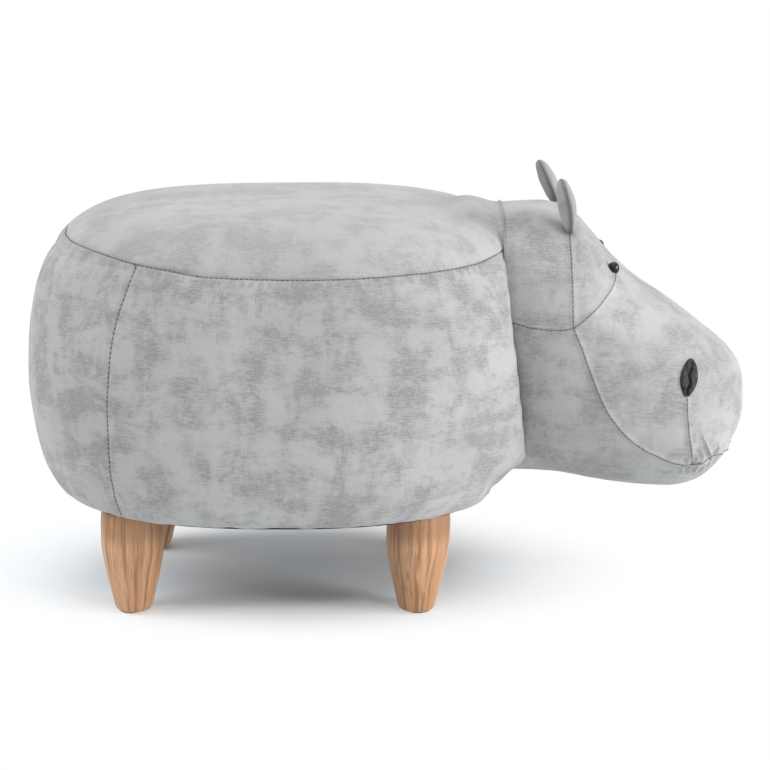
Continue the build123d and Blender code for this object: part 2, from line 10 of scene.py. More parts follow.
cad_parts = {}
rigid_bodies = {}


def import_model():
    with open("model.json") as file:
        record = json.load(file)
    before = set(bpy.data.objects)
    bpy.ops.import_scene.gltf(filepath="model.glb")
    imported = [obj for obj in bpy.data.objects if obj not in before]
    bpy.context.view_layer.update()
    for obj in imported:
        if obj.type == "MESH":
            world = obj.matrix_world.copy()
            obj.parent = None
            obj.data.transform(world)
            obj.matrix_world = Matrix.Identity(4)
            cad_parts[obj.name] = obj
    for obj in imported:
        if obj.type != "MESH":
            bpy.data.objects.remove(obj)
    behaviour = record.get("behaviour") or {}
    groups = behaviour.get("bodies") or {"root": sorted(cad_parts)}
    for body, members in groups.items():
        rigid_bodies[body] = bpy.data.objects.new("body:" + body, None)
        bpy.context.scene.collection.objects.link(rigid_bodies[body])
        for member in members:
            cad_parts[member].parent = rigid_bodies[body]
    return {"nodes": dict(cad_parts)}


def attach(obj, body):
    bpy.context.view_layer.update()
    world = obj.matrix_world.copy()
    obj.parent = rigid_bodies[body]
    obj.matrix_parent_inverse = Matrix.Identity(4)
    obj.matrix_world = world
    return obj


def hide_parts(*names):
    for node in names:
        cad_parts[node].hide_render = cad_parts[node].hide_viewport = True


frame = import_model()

bl_info = {
    "name": "Hippo footstool",
    "version": (1, 0, 0),
    "blender": (4, 5, 0),
    "location": "View3D > Sidebar > Footstool",
    "description": "Dresses the footstool's frame in fabric, wood and gloss",
    "category": "Add Mesh",
}

MM = 0.001

# Body outline, the same as the solids follow
BODY_BOTTOM = 100.8 * MM
SEAM_Z = 333 * MM
HALF_WIDTH = 180 * MM
REAR_X = -333.5 * MM
FRONT_X = 156 * MM
MIDDLE_X = -93 * MM
WALL_TUCK = 40 * MM
CROWN_HEIGHT = 39 * MM
CROWN_POWER = 5.6
CROWN_FULLNESS = 0.70
OVAL_POWER = 2.38
WALL_HEIGHT_SHARES = (0, 0.014, 0.040, 0.074, 0.147, 0.276, 0.47, 0.643, 0.815, 0.944, 1)
REAR_TUCK_SHARES = (0.92, 0.70, 0.56, 0.43, 0.25, 0.10, 0, 0.05, 0.21, 0.475, 0.715)
FRONT_TUCK_SHARES = (1.35, 1.12, 0.90, 0.62, 0.33, 0.11, 0, 0.10, 0.35, 0.65, 0.83)
SIDE_TUCK_SHARES = (0.64, 0.50, 0.40, 0.31, 0.18, 0.07, 0, 0.04, 0.17, 0.37, 0.56)
# How far the top seam runs above the widest row's end, along the surface, at places along X
SEAM_X = np.array((-302, -264, -217, -186, -154, -65, 30, 84, 107)) * MM
SEAM_LIFT = np.array((17, 13, 4.5, 0.5, -3.5, -5.2, -3.5, -0.8, 3.5)) * MM
# The rear seam's places along X at heights up Z
REAR_SEAM_Z = np.array((100, 130, 165, 205, 240, 275, 300, 333)) * MM
REAR_SEAM_X = np.array((-236.5, -242, -244.5, -244.3, -242.2, -237.4, -230.6, -218)) * MM

# Neck seam: a plane that leans back with height
NECK_X = 120 * MM
NECK_Z = 235 * MM
NECK_LEAN = tan(radians(6.9))
NECK_UPRIGHT_X = 110.5 * MM
# How far the body's lower front corner sweeps back under the chin, at heights up Z
CHIN_Z = np.array((101, 105, 110, 115, 121, 127, 133, 139, 145)) * MM
CHIN_SWEEP = np.array((5, 9, 12, 13, 13, 11.5, 7.5, 2.5, 0)) * MM

# Head outline: one column for each station, in millimetres
NOSE_X = 334.0
HEAD_X = (72, 108, 125, 150, 175, 195, 215, 240, 264, 288, 305, 318.5, 328, 332.8, 334.0)
HEAD_TOP = (363, 364.5, 366, 366.3, 357.5, 335.5, 313, 291.5, 275.5, 257.5, 244, 234, 224.5, 214, 186)
HEAD_BOTTOM = (122, 115, 113.2, 112.8, 110.5, 107, 103.5, 101, 100.4, 105.5, 118, 137, 157, 172, 186)
HEAD_WIDEST = (217, 217, 216, 214, 212, 207, 201, 193.5, 187, 182.5, 181, 184, 189, 189, 186)
HEAD_HALF = (80, 88, 98, 108.5, 114, 116, 116, 115, 113, 107, 97, 83, 62, 38, 0)
HEAD_TOP_POWER = 2.89
HEAD_BOTTOM_POWER = 2.08
HEAD_BACK = 117

# Head seams in the side view: places along X and up Z, in millimetres
SIDE_SEAM = ((60, 286), (100, 278.5), (115.6, 275), (129.7, 272), (147.2, 271), (158.6, 271.6),
             (167.8, 273.5))
EAR_SEAM = ((167.8, 273.5), (167.5, 285), (167.2, 298), (166.2, 326), (165.6, 350), (164, 375), (163, 400))
BROW_SEAM = ((167.8, 273.5), (173, 277), (178.7, 281.9), (191.5, 293.3), (200.4, 302.5), (207.7, 310),
             (211.3, 318), (213, 335), (214, 360))
MOUTH_SEAM = ((167.8, 273.5), (171.5, 265), (175.9, 254.5), (181.5, 239), (187.6, 223), (193, 209.5),
              (199.4, 197.5), (211.4, 180.5), (225.7, 166.3), (239.9, 157.4), (254, 149.8), (263.8, 145.4),
              (272.6, 142.4), (278.5, 142.6), (287.3, 145.0), (297.8, 147.6), (307.8, 149), (345, 150))
DART_SEAM = ((270.8, 210), (271.4, 195), (272.5, 187), (273.8, 177.2), (276.4, 163.4), (278.6, 153.4),
             (280.2, 143.5))
# Creases gathered into the mouth seam: depth in millimetres, then places along X and up Z
FOLDS = (
    (1.9, ((287.0, 171), (291.0, 163.5), (295.6, 154), (297.6, 149))),
    (1.2, ((302.2, 164), (304.9, 156), (304.6, 151))),
    (1.0, ((292.5, 143.5), (292.4, 130))),
    (1.1, ((285.2, 142), (284.6, 130.5))),
    (0.8, ((278.4, 140), (279.8, 131))),
    (1.0, ((299.3, 145), (298.0, 133))),
    (0.8, ((271.0, 140), (272.3, 132))),
    (0.8, ((305.5, 147), (303.2, 137))),
    (0.7, ((283.5, 147), (282.0, 154))),
    (0.8, ((290.0, 149), (287.6, 156.5))),
    (0.6, ((275.8, 145), (275.2, 151))),
)
HEAD_SEAMS = (SIDE_SEAM, EAR_SEAM, BROW_SEAM, MOUTH_SEAM, DART_SEAM)

# Rows and columns of the grids
UNDER_ROWS, WALL_ROWS, CROWN_ROWS, BODY_COLUMNS = 12, 112, 96, 600
HEAD_ROWS, HEAD_COLUMNS = 220, 440
# Finer points, from which the even spacing of rows, columns and seam lines is measured
BODY_OVAL_POINTS, HEAD_OVAL_POINTS = 1600, 1400
CROWN_STEPS, OUTLINE_STEPS, SEAM_STEPS = 4000, 6000, 3000
# How the body's rows are spaced: closer to the wall's ends and to the top seam, and on the crown along an
# arc of its mean radius that stops just short of its middle
WALL_SPREAD = 1.35
WALL_CROWDING = 0.045
CROWN_CROWDING = 0.65
CROWN_RADIUS = 210 * MM
CROWN_REACH = 0.985
# How far the underside is set up above the body's lower edge
UNDER_LIFT = 1.5 * MM
# Where body and head meet: how softly the neck's plane and the body's edges are rounded, how far the body
# stands above the head's top, and the crown's rise beside the neck
NECK_BLEND = 1.5 * MM
BODY_BLEND = 2.5 * MM
SWELL_GAP = 0.2 * MM
NECK_RISE = 8 * MM
NECK_RISE_X = 76 * MM
# The head: how much heights count beside widths when its rows are spaced, the jaw's root drawn back
# behind the body, and the dip between the ears
HEAD_HEIGHT_WEIGHT = 0.3**0.5
JAW_PULL = 20 * MM
RIDGE_DIP = 3 * MM
# Where the ears and eyes sit, and how far out the brow seam's stitches stop
EAR_X, EAR_Y = 166 * MM, 63 * MM
EYE_X, EYE_Y = 206.4 * MM, 58 * MM
BROW_SEAM_Y = 58 * MM
# A fold as deep as this, in millimetres, gets as much painted shade as a seam
FULL_SHADE_FOLD = 1.6
# A distance that counts as far from every seam
FAR = 1.0

# Legs, and the round bar on which their grain is laid out
FELT_HEIGHT = 2 * MM
LEG_HEIGHT = 98.6 * MM
LEG_Y = 90 * MM
GRAIN_RADIUS = 25 * MM

# Looks and studio: the floor's reach and the camera's distance are in metres, the lens in millimetres
# Share by which the ears' fabric is darkened: painted shade, as the ears stand in shade
EAR_PAINTED_SHADE = 0.8
TENT_LIGHT = 0.55
FLOOR_REACH = 12.0
CAMERA_LENS = 98.4
CAMERA_AWAY = 2.0
CAMERA_LIFT = radians(15)
AIM_Z = 192 * MM
# Soft boxes: name, place, target, size, power
SOFT_BOXES = (
    ("top", (0.0, 0.0, 2.6), (0, 0, 0.2), 2.0, 17.5),
    ("left", (-2.2, -0.3, 1.7), (-0.1, 0, 0.2), 1.4, 38.5),
    ("right", (2.2, -0.75, 0.85), (0.2, 0, 0.2), 1.0, 40.5),
    ("low", (1.7, -1.4, 0.22), (0.2, 0, 0.15), 0.8, 11.0),
    ("back", (0.0, 2.1, 1.9), (0, 0, 0.1), 1.4, 8.0),
    ("spark", (0.75, -1.35, 1.7), (0.2, 0, 0.3), 0.2, 4.5),
)
# How the names of the carried-over nodes start, for two of their materials
STEEL_NODES = ("head_bolts", "head_washers", "head_nuts", "hanger_bolt", "t_nut", "frame_screws",
               "dust_cover_staples")
BOARD_NODES = ("base_board", "seat_board", "front_board", "head_plate")


def eased(x, xs, ys):
    """A smooth curve through points: cubic pieces whose slopes are harmonic means, so none overshoots."""
    xs, ys = np.asarray(xs, float), np.asarray(ys, float)
    steps = np.diff(xs)
    slopes = np.diff(ys) / steps
    before, after = slopes[:-1], slopes[1:]
    alike = before * after > 0
    total = np.where(alike, before + after, 1.0)
    inner = np.where(alike, 2 * before * after / total, 0.0)
    tangents = np.concatenate(([slopes[0]], inner, [slopes[-1]]))
    x = np.clip(x, xs[0], xs[-1])
    k = np.clip(np.searchsorted(xs, x, side="right") - 1, 0, len(steps) - 1)
    step = steps[k]
    t = (x - xs[k]) / step
    return ((2 * t**3 - 3 * t**2 + 1) * ys[k] + (t**3 - 2 * t**2 + t) * step * tangents[k]
            + (3 * t**2 - 2 * t**3) * ys[k + 1] + (t**3 - t**2) * step * tangents[k + 1])


def soft_max(a, b, blend):
    """The larger of two heights, rounded over where they cross."""
    return blend * np.logaddexp(a / blend, b / blend)


def neck_plane(z):
    """Where the neck seam lies along X at a height: leaning back with height, then upright above."""
    return soft_max(NECK_X - (z - NECK_Z) * NECK_LEAN, NECK_UPRIGHT_X, NECK_BLEND)


def smooth(share):
    """A share from 0 to 1 with its two corners rounded."""
    return share**2 * (3 - 2 * share)


def ramp(place, start, end):
    """Nought up to a start and one from an end on, both in millimetres, for places in metres."""
    return np.clip((place / MM - start) / (end - start), 0, 1)


def bell(distance, width):
    """One at no distance, and nothing well past a width in millimetres."""
    return np.exp(-(distance / (width * MM)) ** 2)


def ripple(a, b, seed):
    """Soft uneven waves, mostly from -1 to 1: seven sines, with pitch, way and phase set by the seed."""
    chance = np.random.default_rng(seed)
    total = np.zeros(np.broadcast(a, b).shape)
    for _ in range(7):
        wave, way, phase = chance.uniform(0.7, 2.2), chance.uniform(0, pi), chance.uniform(0, 2 * pi)
        total = total + np.sin(wave * (a * cos(way) + b * sin(way)) + phase)
    return total / 4


def signed_power(values, power):
    """Values raised to a power, with their signs kept."""
    return np.sign(values) * np.abs(values) ** power


def circle(count, start=0.0):
    """Angles spaced evenly once round."""
    return np.linspace(start, start + 2 * pi, count, endpoint=False)


def grid(*parts):
    """Points from their coordinates, each given in full or as one row or one column."""
    return np.stack(np.broadcast_arrays(*parts), axis=-1)


def unit(vectors):
    """Vectors made one long."""
    return vectors / np.maximum(np.linalg.norm(vectors, axis=-1, keepdims=True), 1e-12)


def run_along(points):
    """How far along a line each of its points lies."""
    return np.concatenate(([0], np.cumsum(np.linalg.norm(np.diff(points, axis=0), axis=1))))


def placed_along(at, run, values):
    """Values held at a line's points, read at other distances along it."""
    return np.stack([np.interp(at, run, column) for column in values.T], axis=-1)


def climb_up(points):
    """How far up its column each point of a grid lies."""
    return np.cumsum(np.linalg.norm(np.diff(points, axis=0, prepend=points[:1]), axis=2), axis=0)


def even_steps(points, count):
    """Points spaced evenly along each row's closed line of points."""
    rows = []
    for row in np.concatenate((points, points[:, :1]), axis=1):
        run = run_along(row)
        rows.append(placed_along(np.linspace(0, run[-1], count, endpoint=False), run, row))
    return np.stack(rows)


def polyline_distance(x, z, line):
    """Distance from each place to a line of points, and how far along the line its nearest point lies."""
    best = np.full(x.shape, FAR)
    run = np.zeros(x.shape)
    start = 0.0
    for (x0, z0), (x1, z1) in zip(line, line[1:]):
        x0, z0, x1, z1 = x0 * MM, z0 * MM, x1 * MM, z1 * MM
        length = np.hypot(x1 - x0, z1 - z0)
        t = np.clip(((x - x0) * (x1 - x0) + (z - z0) * (z1 - z0)) / length**2, 0, 1)
        away = np.hypot(x - x0 - t * (x1 - x0), z - z0 - t * (z1 - z0))
        nearer = away < best
        best = np.where(nearer, away, best)
        run = np.where(nearer, start + t * length, run)
        start += length
    return best, run


def grid_normals(points):
    """Unit normals of a closed-round grid, from the cross product of its two central differences."""
    along = np.roll(points, -1, axis=1) - np.roll(points, 1, axis=1)
    return unit(np.cross(along, np.gradient(points, axis=0)))


def quads_between(index):
    """Quads between neighbouring rows of point numbers, closed round the columns."""
    right = np.roll(index, -1, axis=1)
    return np.stack((index[:-1], right[:-1], right[1:], index[1:]), axis=-1).reshape(-1, 4)


def round_mesh(name, points, uv=None, floats=None):
    """A mesh from a grid that closes round its columns, with a pole in the middle of each end row.

    Faces are quads between neighbouring rows and triangles at the poles, wound outwards. uv holds a place
    for every grid point. floats holds values under each attribute's name: one for every grid point, or
    one row or column of them.
    """
    rows, columns = points.shape[:2]
    index = np.arange(rows * columns).reshape(rows, columns)
    right = np.roll(index, -1, axis=1)
    quads = quads_between(index)
    first, last = rows * columns, rows * columns + 1
    fans_low = grid(first, right[0], index[0])
    fans_high = grid(last, index[-1], right[-1])
    loops = np.concatenate((quads.ravel(), fans_low.ravel(), fans_high.ravel()))
    sizes = np.concatenate((np.full(len(quads), 4), np.full(2 * columns, 3)))

    def with_poles(values):
        flat = values.reshape(rows * columns, -1)
        return np.concatenate((flat, [flat[:columns].mean(0), flat[-columns:].mean(0)]))

    extra = {}
    for label, values in (floats or {}).items():
        extra[label] = with_poles(np.broadcast_to(values, (rows, columns))).ravel()
    flat_uv = None if uv is None else with_poles(uv)
    return mesh_piece(name, with_poles(points), loops, sizes, flat_uv, extra)


def mesh_piece(name, vertices, loops, sizes, uv=None, floats=None):
    """Puts a mesh made of plain arrays into the scene and returns its object."""
    mesh = bpy.data.meshes.new(name)
    mesh.vertices.add(len(vertices))
    mesh.vertices.foreach_set("co", np.asarray(vertices, np.float32).ravel())
    mesh.loops.add(len(loops))
    mesh.loops.foreach_set("vertex_index", loops.astype(np.int32))
    mesh.polygons.add(len(sizes))
    mesh.polygons.foreach_set("loop_start", np.concatenate(([0], np.cumsum(sizes)[:-1])).astype(np.int32))
    mesh.polygons.foreach_set("use_smooth", np.full(len(sizes), True))
    mesh.update(calc_edges=True)
    if uv is not None:
        layer = mesh.uv_layers.new(name="Cloth")
        layer.data.foreach_set("uv", uv[loops].astype(np.float32).ravel())
    for label, values in (floats or {}).items():
        attribute = mesh.attributes.new(label, "FLOAT", "POINT")
        attribute.data.foreach_set("value", values.astype(np.float32))
    mesh.validate()
    piece = bpy.data.objects.new(name, mesh)
    bpy.context.scene.collection.objects.link(piece)
    return piece


def body_reaches(level):
    """Rear and front reach and half width of the body at shares of the wall's height."""
    def tuck(table):
        return eased(level, WALL_HEIGHT_SHARES, table) * WALL_TUCK

    return (MIDDLE_X - REAR_X - tuck(REAR_TUCK_SHARES), FRONT_X - MIDDLE_X - tuck(FRONT_TUCK_SHARES),
            HALF_WIDTH - tuck(SIDE_TUCK_SHARES))


def body_oval(rear, front, half):
    """Ovals of the body from their rear and front reach and half width: superellipses, from front centre."""
    t = circle(BODY_OVAL_POINTS)
    unit_x = signed_power(np.cos(t), 2 / OVAL_POWER)
    unit_y = signed_power(np.sin(t), 2 / OVAL_POWER)
    reach = np.where(unit_x > 0, front[:, None], rear[:, None])
    return MIDDLE_X + reach * unit_x, half[:, None] * unit_y


def head_tables(x):
    """Top, bottom, widest level and half width of the head at places along X, all in metres."""
    def place(at):
        return -np.sqrt(np.clip(NOSE_X - np.asarray(at, float), 0, None))

    where = place(x / MM)
    tables = (HEAD_TOP, HEAD_BOTTOM, HEAD_WIDEST, HEAD_HALF)
    return [eased(where, place(HEAD_X), table) * MM for table in tables]


def head_top_height(x, y):
    """Height of the head's upper surface over places in plan; well below it outside the head's width."""
    top, _, widest, half = head_tables(x)
    share = np.clip(np.abs(y) / np.maximum(half, 1e-6), 0, 1)
    return widest + (top - widest) * (1 - share**HEAD_TOP_POWER) ** (1 / HEAD_TOP_POWER)


def head_side(x, z, side):
    """The point of the head's surface at a place in the side view, on one side."""
    top, bottom, widest, half = head_tables(x)
    up = z > widest
    reach = np.where(up, top - widest, widest - bottom)
    power = np.where(up, HEAD_TOP_POWER, HEAD_BOTTOM_POWER)
    share = np.clip(np.abs(z - widest) / reach, 0, 1)
    return grid(x, side * half * (1 - share**power) ** (1 / power), z)


def groove(distance, depth, width):
    """How far a seam draws the fabric in, at a distance from it; the width is in millimetres."""
    return -depth * bell(distance, width)


def pucker(distance, run, reach, pitch, seed):
    """Short folds square to a seam: waves that fade away from it. Reach and pitch are in millimetres."""
    fade = np.exp(-distance / (reach * MM))
    return fade * ripple(run / (pitch * MM) * 2.2, distance / (pitch * MM * 3), seed)


def crossings(values, field, rows):
    """Where a field rises through zero between two rows of a grid: the values there, one for each column."""
    part, held = field[rows], values[rows]
    change = (part[:-1] < 0) & (part[1:] >= 0)
    column = np.nonzero(change.any(axis=0))[0]
    row = np.argmax(change, axis=0)[column]
    low, high = part[row, column], part[row + 1, column]
    share = (-low / (high - low))[:, None]
    return held[row, column] * (1 - share) + held[row + 1, column] * share


def make_body(sizes):
    """The seat's closed padded form.

    Rows run from the underside's middle out to its edge, up the wall, over the seam and across the crown to
    its middle. Each row is an oval. The crown's height falls with a power of the share of its plan, and is
    joined to the head's top by a soft maximum. The front is pressed flat against the neck's leaning plane by
    a soft minimum, and its lower corner sweeps back under the chin. Seams draw the surface in, and puckers
    and slow waves move it along its normals.
    """
    def crown_height(share):
        return CROWN_HEIGHT * (1 - share**CROWN_POWER) ** CROWN_FULLNESS

    fine = np.linspace(0, 1, CROWN_STEPS)
    under = np.linspace(0.02, 1, UNDER_ROWS)[:-1]
    wall_z = 1 - np.linspace(1, 0, WALL_ROWS) ** WALL_SPREAD
    wall_z = wall_z - WALL_CROWDING * np.sin(2 * pi * wall_z)
    crown_arc = run_along(grid(fine * CROWN_RADIUS, crown_height(fine)))
    crown_steps = np.linspace(0, 1, CROWN_ROWS)[1:]
    crown_steps = (1 - CROWN_CROWDING) * crown_steps + CROWN_CROWDING * crown_steps**2
    crown_share = np.interp((1 - crown_steps * CROWN_REACH) * crown_arc[-1], crown_arc, fine)
    walls = body_reaches(wall_z)
    x, y = body_oval(*(np.concatenate((under * wall[0], wall, crown_share * wall[-1])) for wall in walls))
    height = np.concatenate((np.full(len(under), BODY_BOTTOM + UNDER_LIFT),
                             BODY_BOTTOM + wall_z * (SEAM_Z - BODY_BOTTOM),
                             SEAM_Z + crown_height(crown_share)))
    points = even_steps(grid(x, y, height[:, None]), BODY_COLUMNS)
    x, y, z = np.moveaxis(points, 2, 0)
    first_wall, first_crown = len(under), len(under) + len(wall_z)
    crown = slice(first_crown, None)
    free_x = x.copy()
    x[:] = -soft_max(-x, -neck_plane(z), BODY_BLEND)
    # The head's top, carried on behind the neck, lifts the crown beside it
    head_x = x[crown] + NECK_X - NECK_UPRIGHT_X
    head_start = HEAD_X[0] * MM
    swell = head_top_height(np.maximum(head_x, head_start), y[crown]) - np.maximum(head_start - head_x, 0)
    swell += SWELL_GAP
    raised = soft_max(z[crown], swell + NECK_RISE * bell(x[crown] - NECK_RISE_X, 20), BODY_BLEND)
    near = smooth(ramp(x[crown] - neck_plane(z[crown]), -16, 0))
    z[crown] = raised + (np.maximum(z[crown], swell) - raised) * near
    z[crown] -= 0.5 * (free_x - x)[crown]
    x -= eased(z, CHIN_Z, CHIN_SWEEP) * smooth(ramp(x, 80, 115))
    # Where each point lies along its row and its column, and how far it is from each seam
    run = run_along(points[first_wall + int(np.argmax(walls[2]))])
    climb = climb_up(points)
    top_side = climb - climb[first_crown - 1] - eased(x, SEAM_X, SEAM_LIFT)
    top_seam = np.abs(top_side)
    rear_side = x - eased(z, REAR_SEAM_Z, REAR_SEAM_X)
    rear_seam = np.where(top_side > 0, top_seam + 1 * MM, np.abs(rear_side))
    neck_seam = np.abs(neck_plane(z) - x)
    hem = np.abs(climb - climb[first_wall])
    normals = grid_normals(points)
    row = np.arange(len(points))[:, None]
    on_top = (top_side > 0).astype(float)
    on_wall = ((row >= first_wall) & (top_side <= 0)).astype(float)
    depth = sizes.seam_depth
    drop = groove(top_seam, depth, 2.2) + groove(rear_seam, depth * 0.8, 2.2)
    drop += groove(neck_seam, depth * 0.4, 2)
    # Puckers: height share, where, distance from the seam and along it, reach, pitch, seed
    puckers = (
        (0.5, on_wall, top_seam, run, 11, 11, 3),
        (0.55, on_top, top_seam, run, 9, 12, 4),
        (0.4, on_wall, rear_seam, z, 10, 13, 5),
        (0.7, on_wall, hem, run, 16, 15, 6),
        (0.5, on_wall, neck_seam, z, 14, 14, 7),
    )
    for share, where, *places_and_sizes in puckers:
        drop += sizes.wrinkle_height * share * where * pucker(*places_and_sizes)
    drop += sizes.wrinkle_height * 0.9 * ripple(run / 0.055, climb / 0.075, 8) * on_wall
    drop += sizes.wrinkle_height * 0.6 * ripple(x / 0.060, y / 0.050, 9) * on_top
    held = np.clip(row / first_wall, 0, 1) ** 4
    points = points + normals * (drop * held)[..., None]
    # Distances from the seams and from the hem, kept for the painted shade along them
    floats = {"seam": np.minimum(np.minimum(top_seam, rear_seam), neck_seam), "top": on_top,
              "hem": np.where(row < first_wall, 0, hem), "under_top": top_side}
    # Seam lines: place, outward direction and side of the top seam at each point
    known = np.concatenate((points, normals, top_side[..., None]), axis=-1)
    top_line = crossings(known, top_side, slice(first_wall, None))
    lines = [top_line[top_line[:, 0] < neck_plane(top_line[:, 2]) - 2 * MM]]
    behind = np.where(row >= first_wall, rear_side, 0).T
    middle = BODY_COLUMNS // 2
    for sign, half_round in ((-1, slice(0, middle)), (1, slice(middle, None))):
        line = crossings(known.transpose(1, 0, 2), sign * behind, half_round)
        lines.append(line[(line[:, 6] < 0) & (line[:, 2] > BODY_BOTTOM + 4 * MM)])
    piece = round_mesh("seat_body", points, grid(run, climb - climb[first_wall]), floats)
    return piece, [(line[:, :3], line[:, 3:6]) for line in lines]


def head_path(line, side):
    """A side-view line laid on the head's surface, as closely spaced points in space."""
    corners = np.array(line) * MM
    run = run_along(corners)
    x, z = placed_along(np.linspace(0, run[-1], SEAM_STEPS), run, corners).T
    inside = x < NOSE_X * MM
    x, z = x[inside], z[inside]
    top, bottom, _, _ = head_tables(x)
    kept = (z < top) & (z > bottom) & (x > neck_plane(z) + 1 * MM)
    return head_side(x[kept], z[kept], side)


def head_lines():
    """The head's sewn lines: side seams, darts, the ear and mouth seams right round, the brow's ends."""
    lines = [head_path(line, side) for line in (SIDE_SEAM, DART_SEAM) for side in (-1, 1)]
    for line in (EAR_SEAM, MOUTH_SEAM):
        lines.append(np.concatenate((head_path(line, -1), head_path(line, 1)[::-1])))
    for side in (-1, 1):
        brow = head_path(BROW_SEAM, side)
        lines.append(brow[np.abs(brow[:, 1]) > BROW_SEAM_Y])
    return lines


def on_surface(line, base, moved, normals):
    """A line laid on a moved surface: thinned, then set level with the grid point nearest to each place."""
    run = run_along(line)
    line = placed_along(np.arange(0, run[-1], 2 * MM), run, line)
    flat = base.reshape(-1, 3)
    nearest = np.argmin((flat**2).sum(1)[None] - 2 * line @ flat.T, axis=1)
    outward = normals.reshape(-1, 3)[nearest]
    gap = ((moved.reshape(-1, 3)[nearest] - line) * outward).sum(1, keepdims=True)
    return line + gap * outward, outward


def make_head(sizes):
    """The head's closed stuffed form.

    Rows run from the neck to the nose, spaced evenly along the outline. Each row is an egg-shaped section
    with its own top, bottom, widest level and half width: one superellipse above and another below. The
    jaw's root is drawn back behind the body's front. Distances to the sewn lines of the side view draw the
    seams in and raise the puckers beside them.
    """
    fine = NOSE_X - (NOSE_X - HEAD_BACK) * np.linspace(1, 0, OUTLINE_STEPS) ** 2.5
    top, bottom, _, half = head_tables(fine * MM)
    outline = run_along(grid(fine * MM, half, HEAD_HEIGHT_WEIGHT * top, HEAD_HEIGHT_WEIGHT * bottom))
    x = np.interp(np.linspace(0, 0.998, HEAD_ROWS) * outline[-1], outline, fine) * MM
    top, bottom, widest, half = (each[:, None] for each in head_tables(x))
    t = circle(HEAD_OVAL_POINTS, -pi / 2)
    c, s = np.cos(t), np.sin(t)
    power = np.where(s > 0, HEAD_TOP_POWER, HEAD_BOTTOM_POWER)
    reach = np.where(s > 0, top - widest, widest - bottom)
    section = grid(x[:, None], half * signed_power(c, 2 / power), widest + reach * signed_power(s, 2 / power))
    base = even_steps(section, HEAD_COLUMNS)
    x, y, z = np.moveaxis(base, 2, 0)
    hidden = ramp(x, 126, 117) * ramp(z, 165, 140)
    x += (neck_plane(z) - NECK_X) * smooth(ramp(x, 190, 120))
    x -= JAW_PULL * hidden
    z -= RIDGE_DIP * bell(x - 168 * MM, 26) * ramp(z, 300, 360) * bell(y, 24)
    # Where the side, ear, brow, mouth and dart seams show, and how far each point is from the nearest and
    # along it; the shift of 0.7 gives each seam puckers of its own
    flat_side = np.abs(y) > 12 * MM
    shown = (flat_side, True, (np.abs(y) > 52 * MM) | (z < 290 * MM), True, flat_side & (x > 230 * MM))
    found = [polyline_distance(x, z, line) for line in HEAD_SEAMS]
    distances = np.stack([np.where(seen, away, FAR) for seen, (away, _) in zip(shown, found)])
    runs = np.stack([along for _, along in found])
    nearest = np.argmin(distances, axis=0)
    seam = distances.min(axis=0)
    run = np.take_along_axis(runs, nearest[None], 0)[0] + nearest * 0.7
    mouth_away, mouth_run = found[HEAD_SEAMS.index(MOUTH_SEAM)]
    past_neck = x - neck_plane(z)
    # Painted shade: shifted by 1.5 mm so that the dark neck line falls at the body's front edge, where the
    # body shades the head
    neck_seam = np.abs(past_neck + 1.5 * MM)
    climb = climb_up(base)
    around = np.cumsum(np.linalg.norm(np.diff(base, axis=1, prepend=base[:, -1:]), axis=2), axis=1)
    normals = -grid_normals(base)
    lift = sizes.wrinkle_height
    drop = groove(seam, sizes.seam_depth, 2.4) - 2 * MM * ramp(past_neck, 1, -3) ** 2 * ramp(z, 290, 330)
    # Each fold is a crease with a low swelling on both sides, and the deeper ones get more painted shade
    fold_shade = np.zeros(x.shape)
    for fold_depth, line in FOLDS:
        away, along = polyline_distance(x, z, line)
        fold_length = np.hypot(line[-1][0] - line[0][0], line[-1][1] - line[0][1]) * MM
        deep = fold_depth * MM * np.clip(along / fold_length * 2, 0.15, 1)
        drop += groove(away, deep, 1.4) + deep * 0.45 * bell(away - 3.4 * MM, 2.2)
        fold_shade = np.maximum(fold_shade, min(1, fold_depth / FULL_SHADE_FOLD) * bell(away, 0.9))
    # A dimple round each ear root, which also gets painted shade
    ear_away = np.hypot(x - (EAR_X - 1 * MM), np.abs(y) - EAR_Y)
    ear_dimple_and_shade = bell(ear_away, 8) * (z > 300 * MM)
    drop -= 2.2 * MM * ear_dimple_and_shade
    drop += lift * 0.75 * pucker(seam, run, 11, 12, 21)
    gathers = np.exp(-mouth_away / (13 * MM)) * ripple((mouth_run + y) / (2 * MM), mouth_away / (30 * MM), 22)
    drop += lift * 1.7 * ramp(x, 262, 284) * gathers
    drop += lift * 0.8 * pucker(neck_seam, z + y, 16, 15, 23)
    drop += lift * 0.9 * ripple(climb / 0.055, around / 0.050, 24)
    held = np.clip((len(base) - 1 - np.arange(len(base))) / 6, 0, 1)[:, None]
    moved = base + normals * (drop * held)[..., None]
    # Painted shade along the front of the mouth seam, in the folds' creases and round the ear roots, kept for
    # the fabric to darken
    mouth_seam_shade = bell(mouth_away, 0.9) * (np.abs(x - 288 * MM) < 12 * MM)
    painted_shade = np.maximum(ear_dimple_and_shade, np.maximum(fold_shade, mouth_seam_shade))
    floats = {"seam": np.minimum(seam, neck_seam)[:, ::-1], "painted_shade": painted_shade[:, ::-1]}
    piece = round_mesh("head_body", moved[:, ::-1], grid(climb, around)[:, ::-1], floats)
    return piece, [on_surface(line, base, moved, normals) for line in head_lines()]


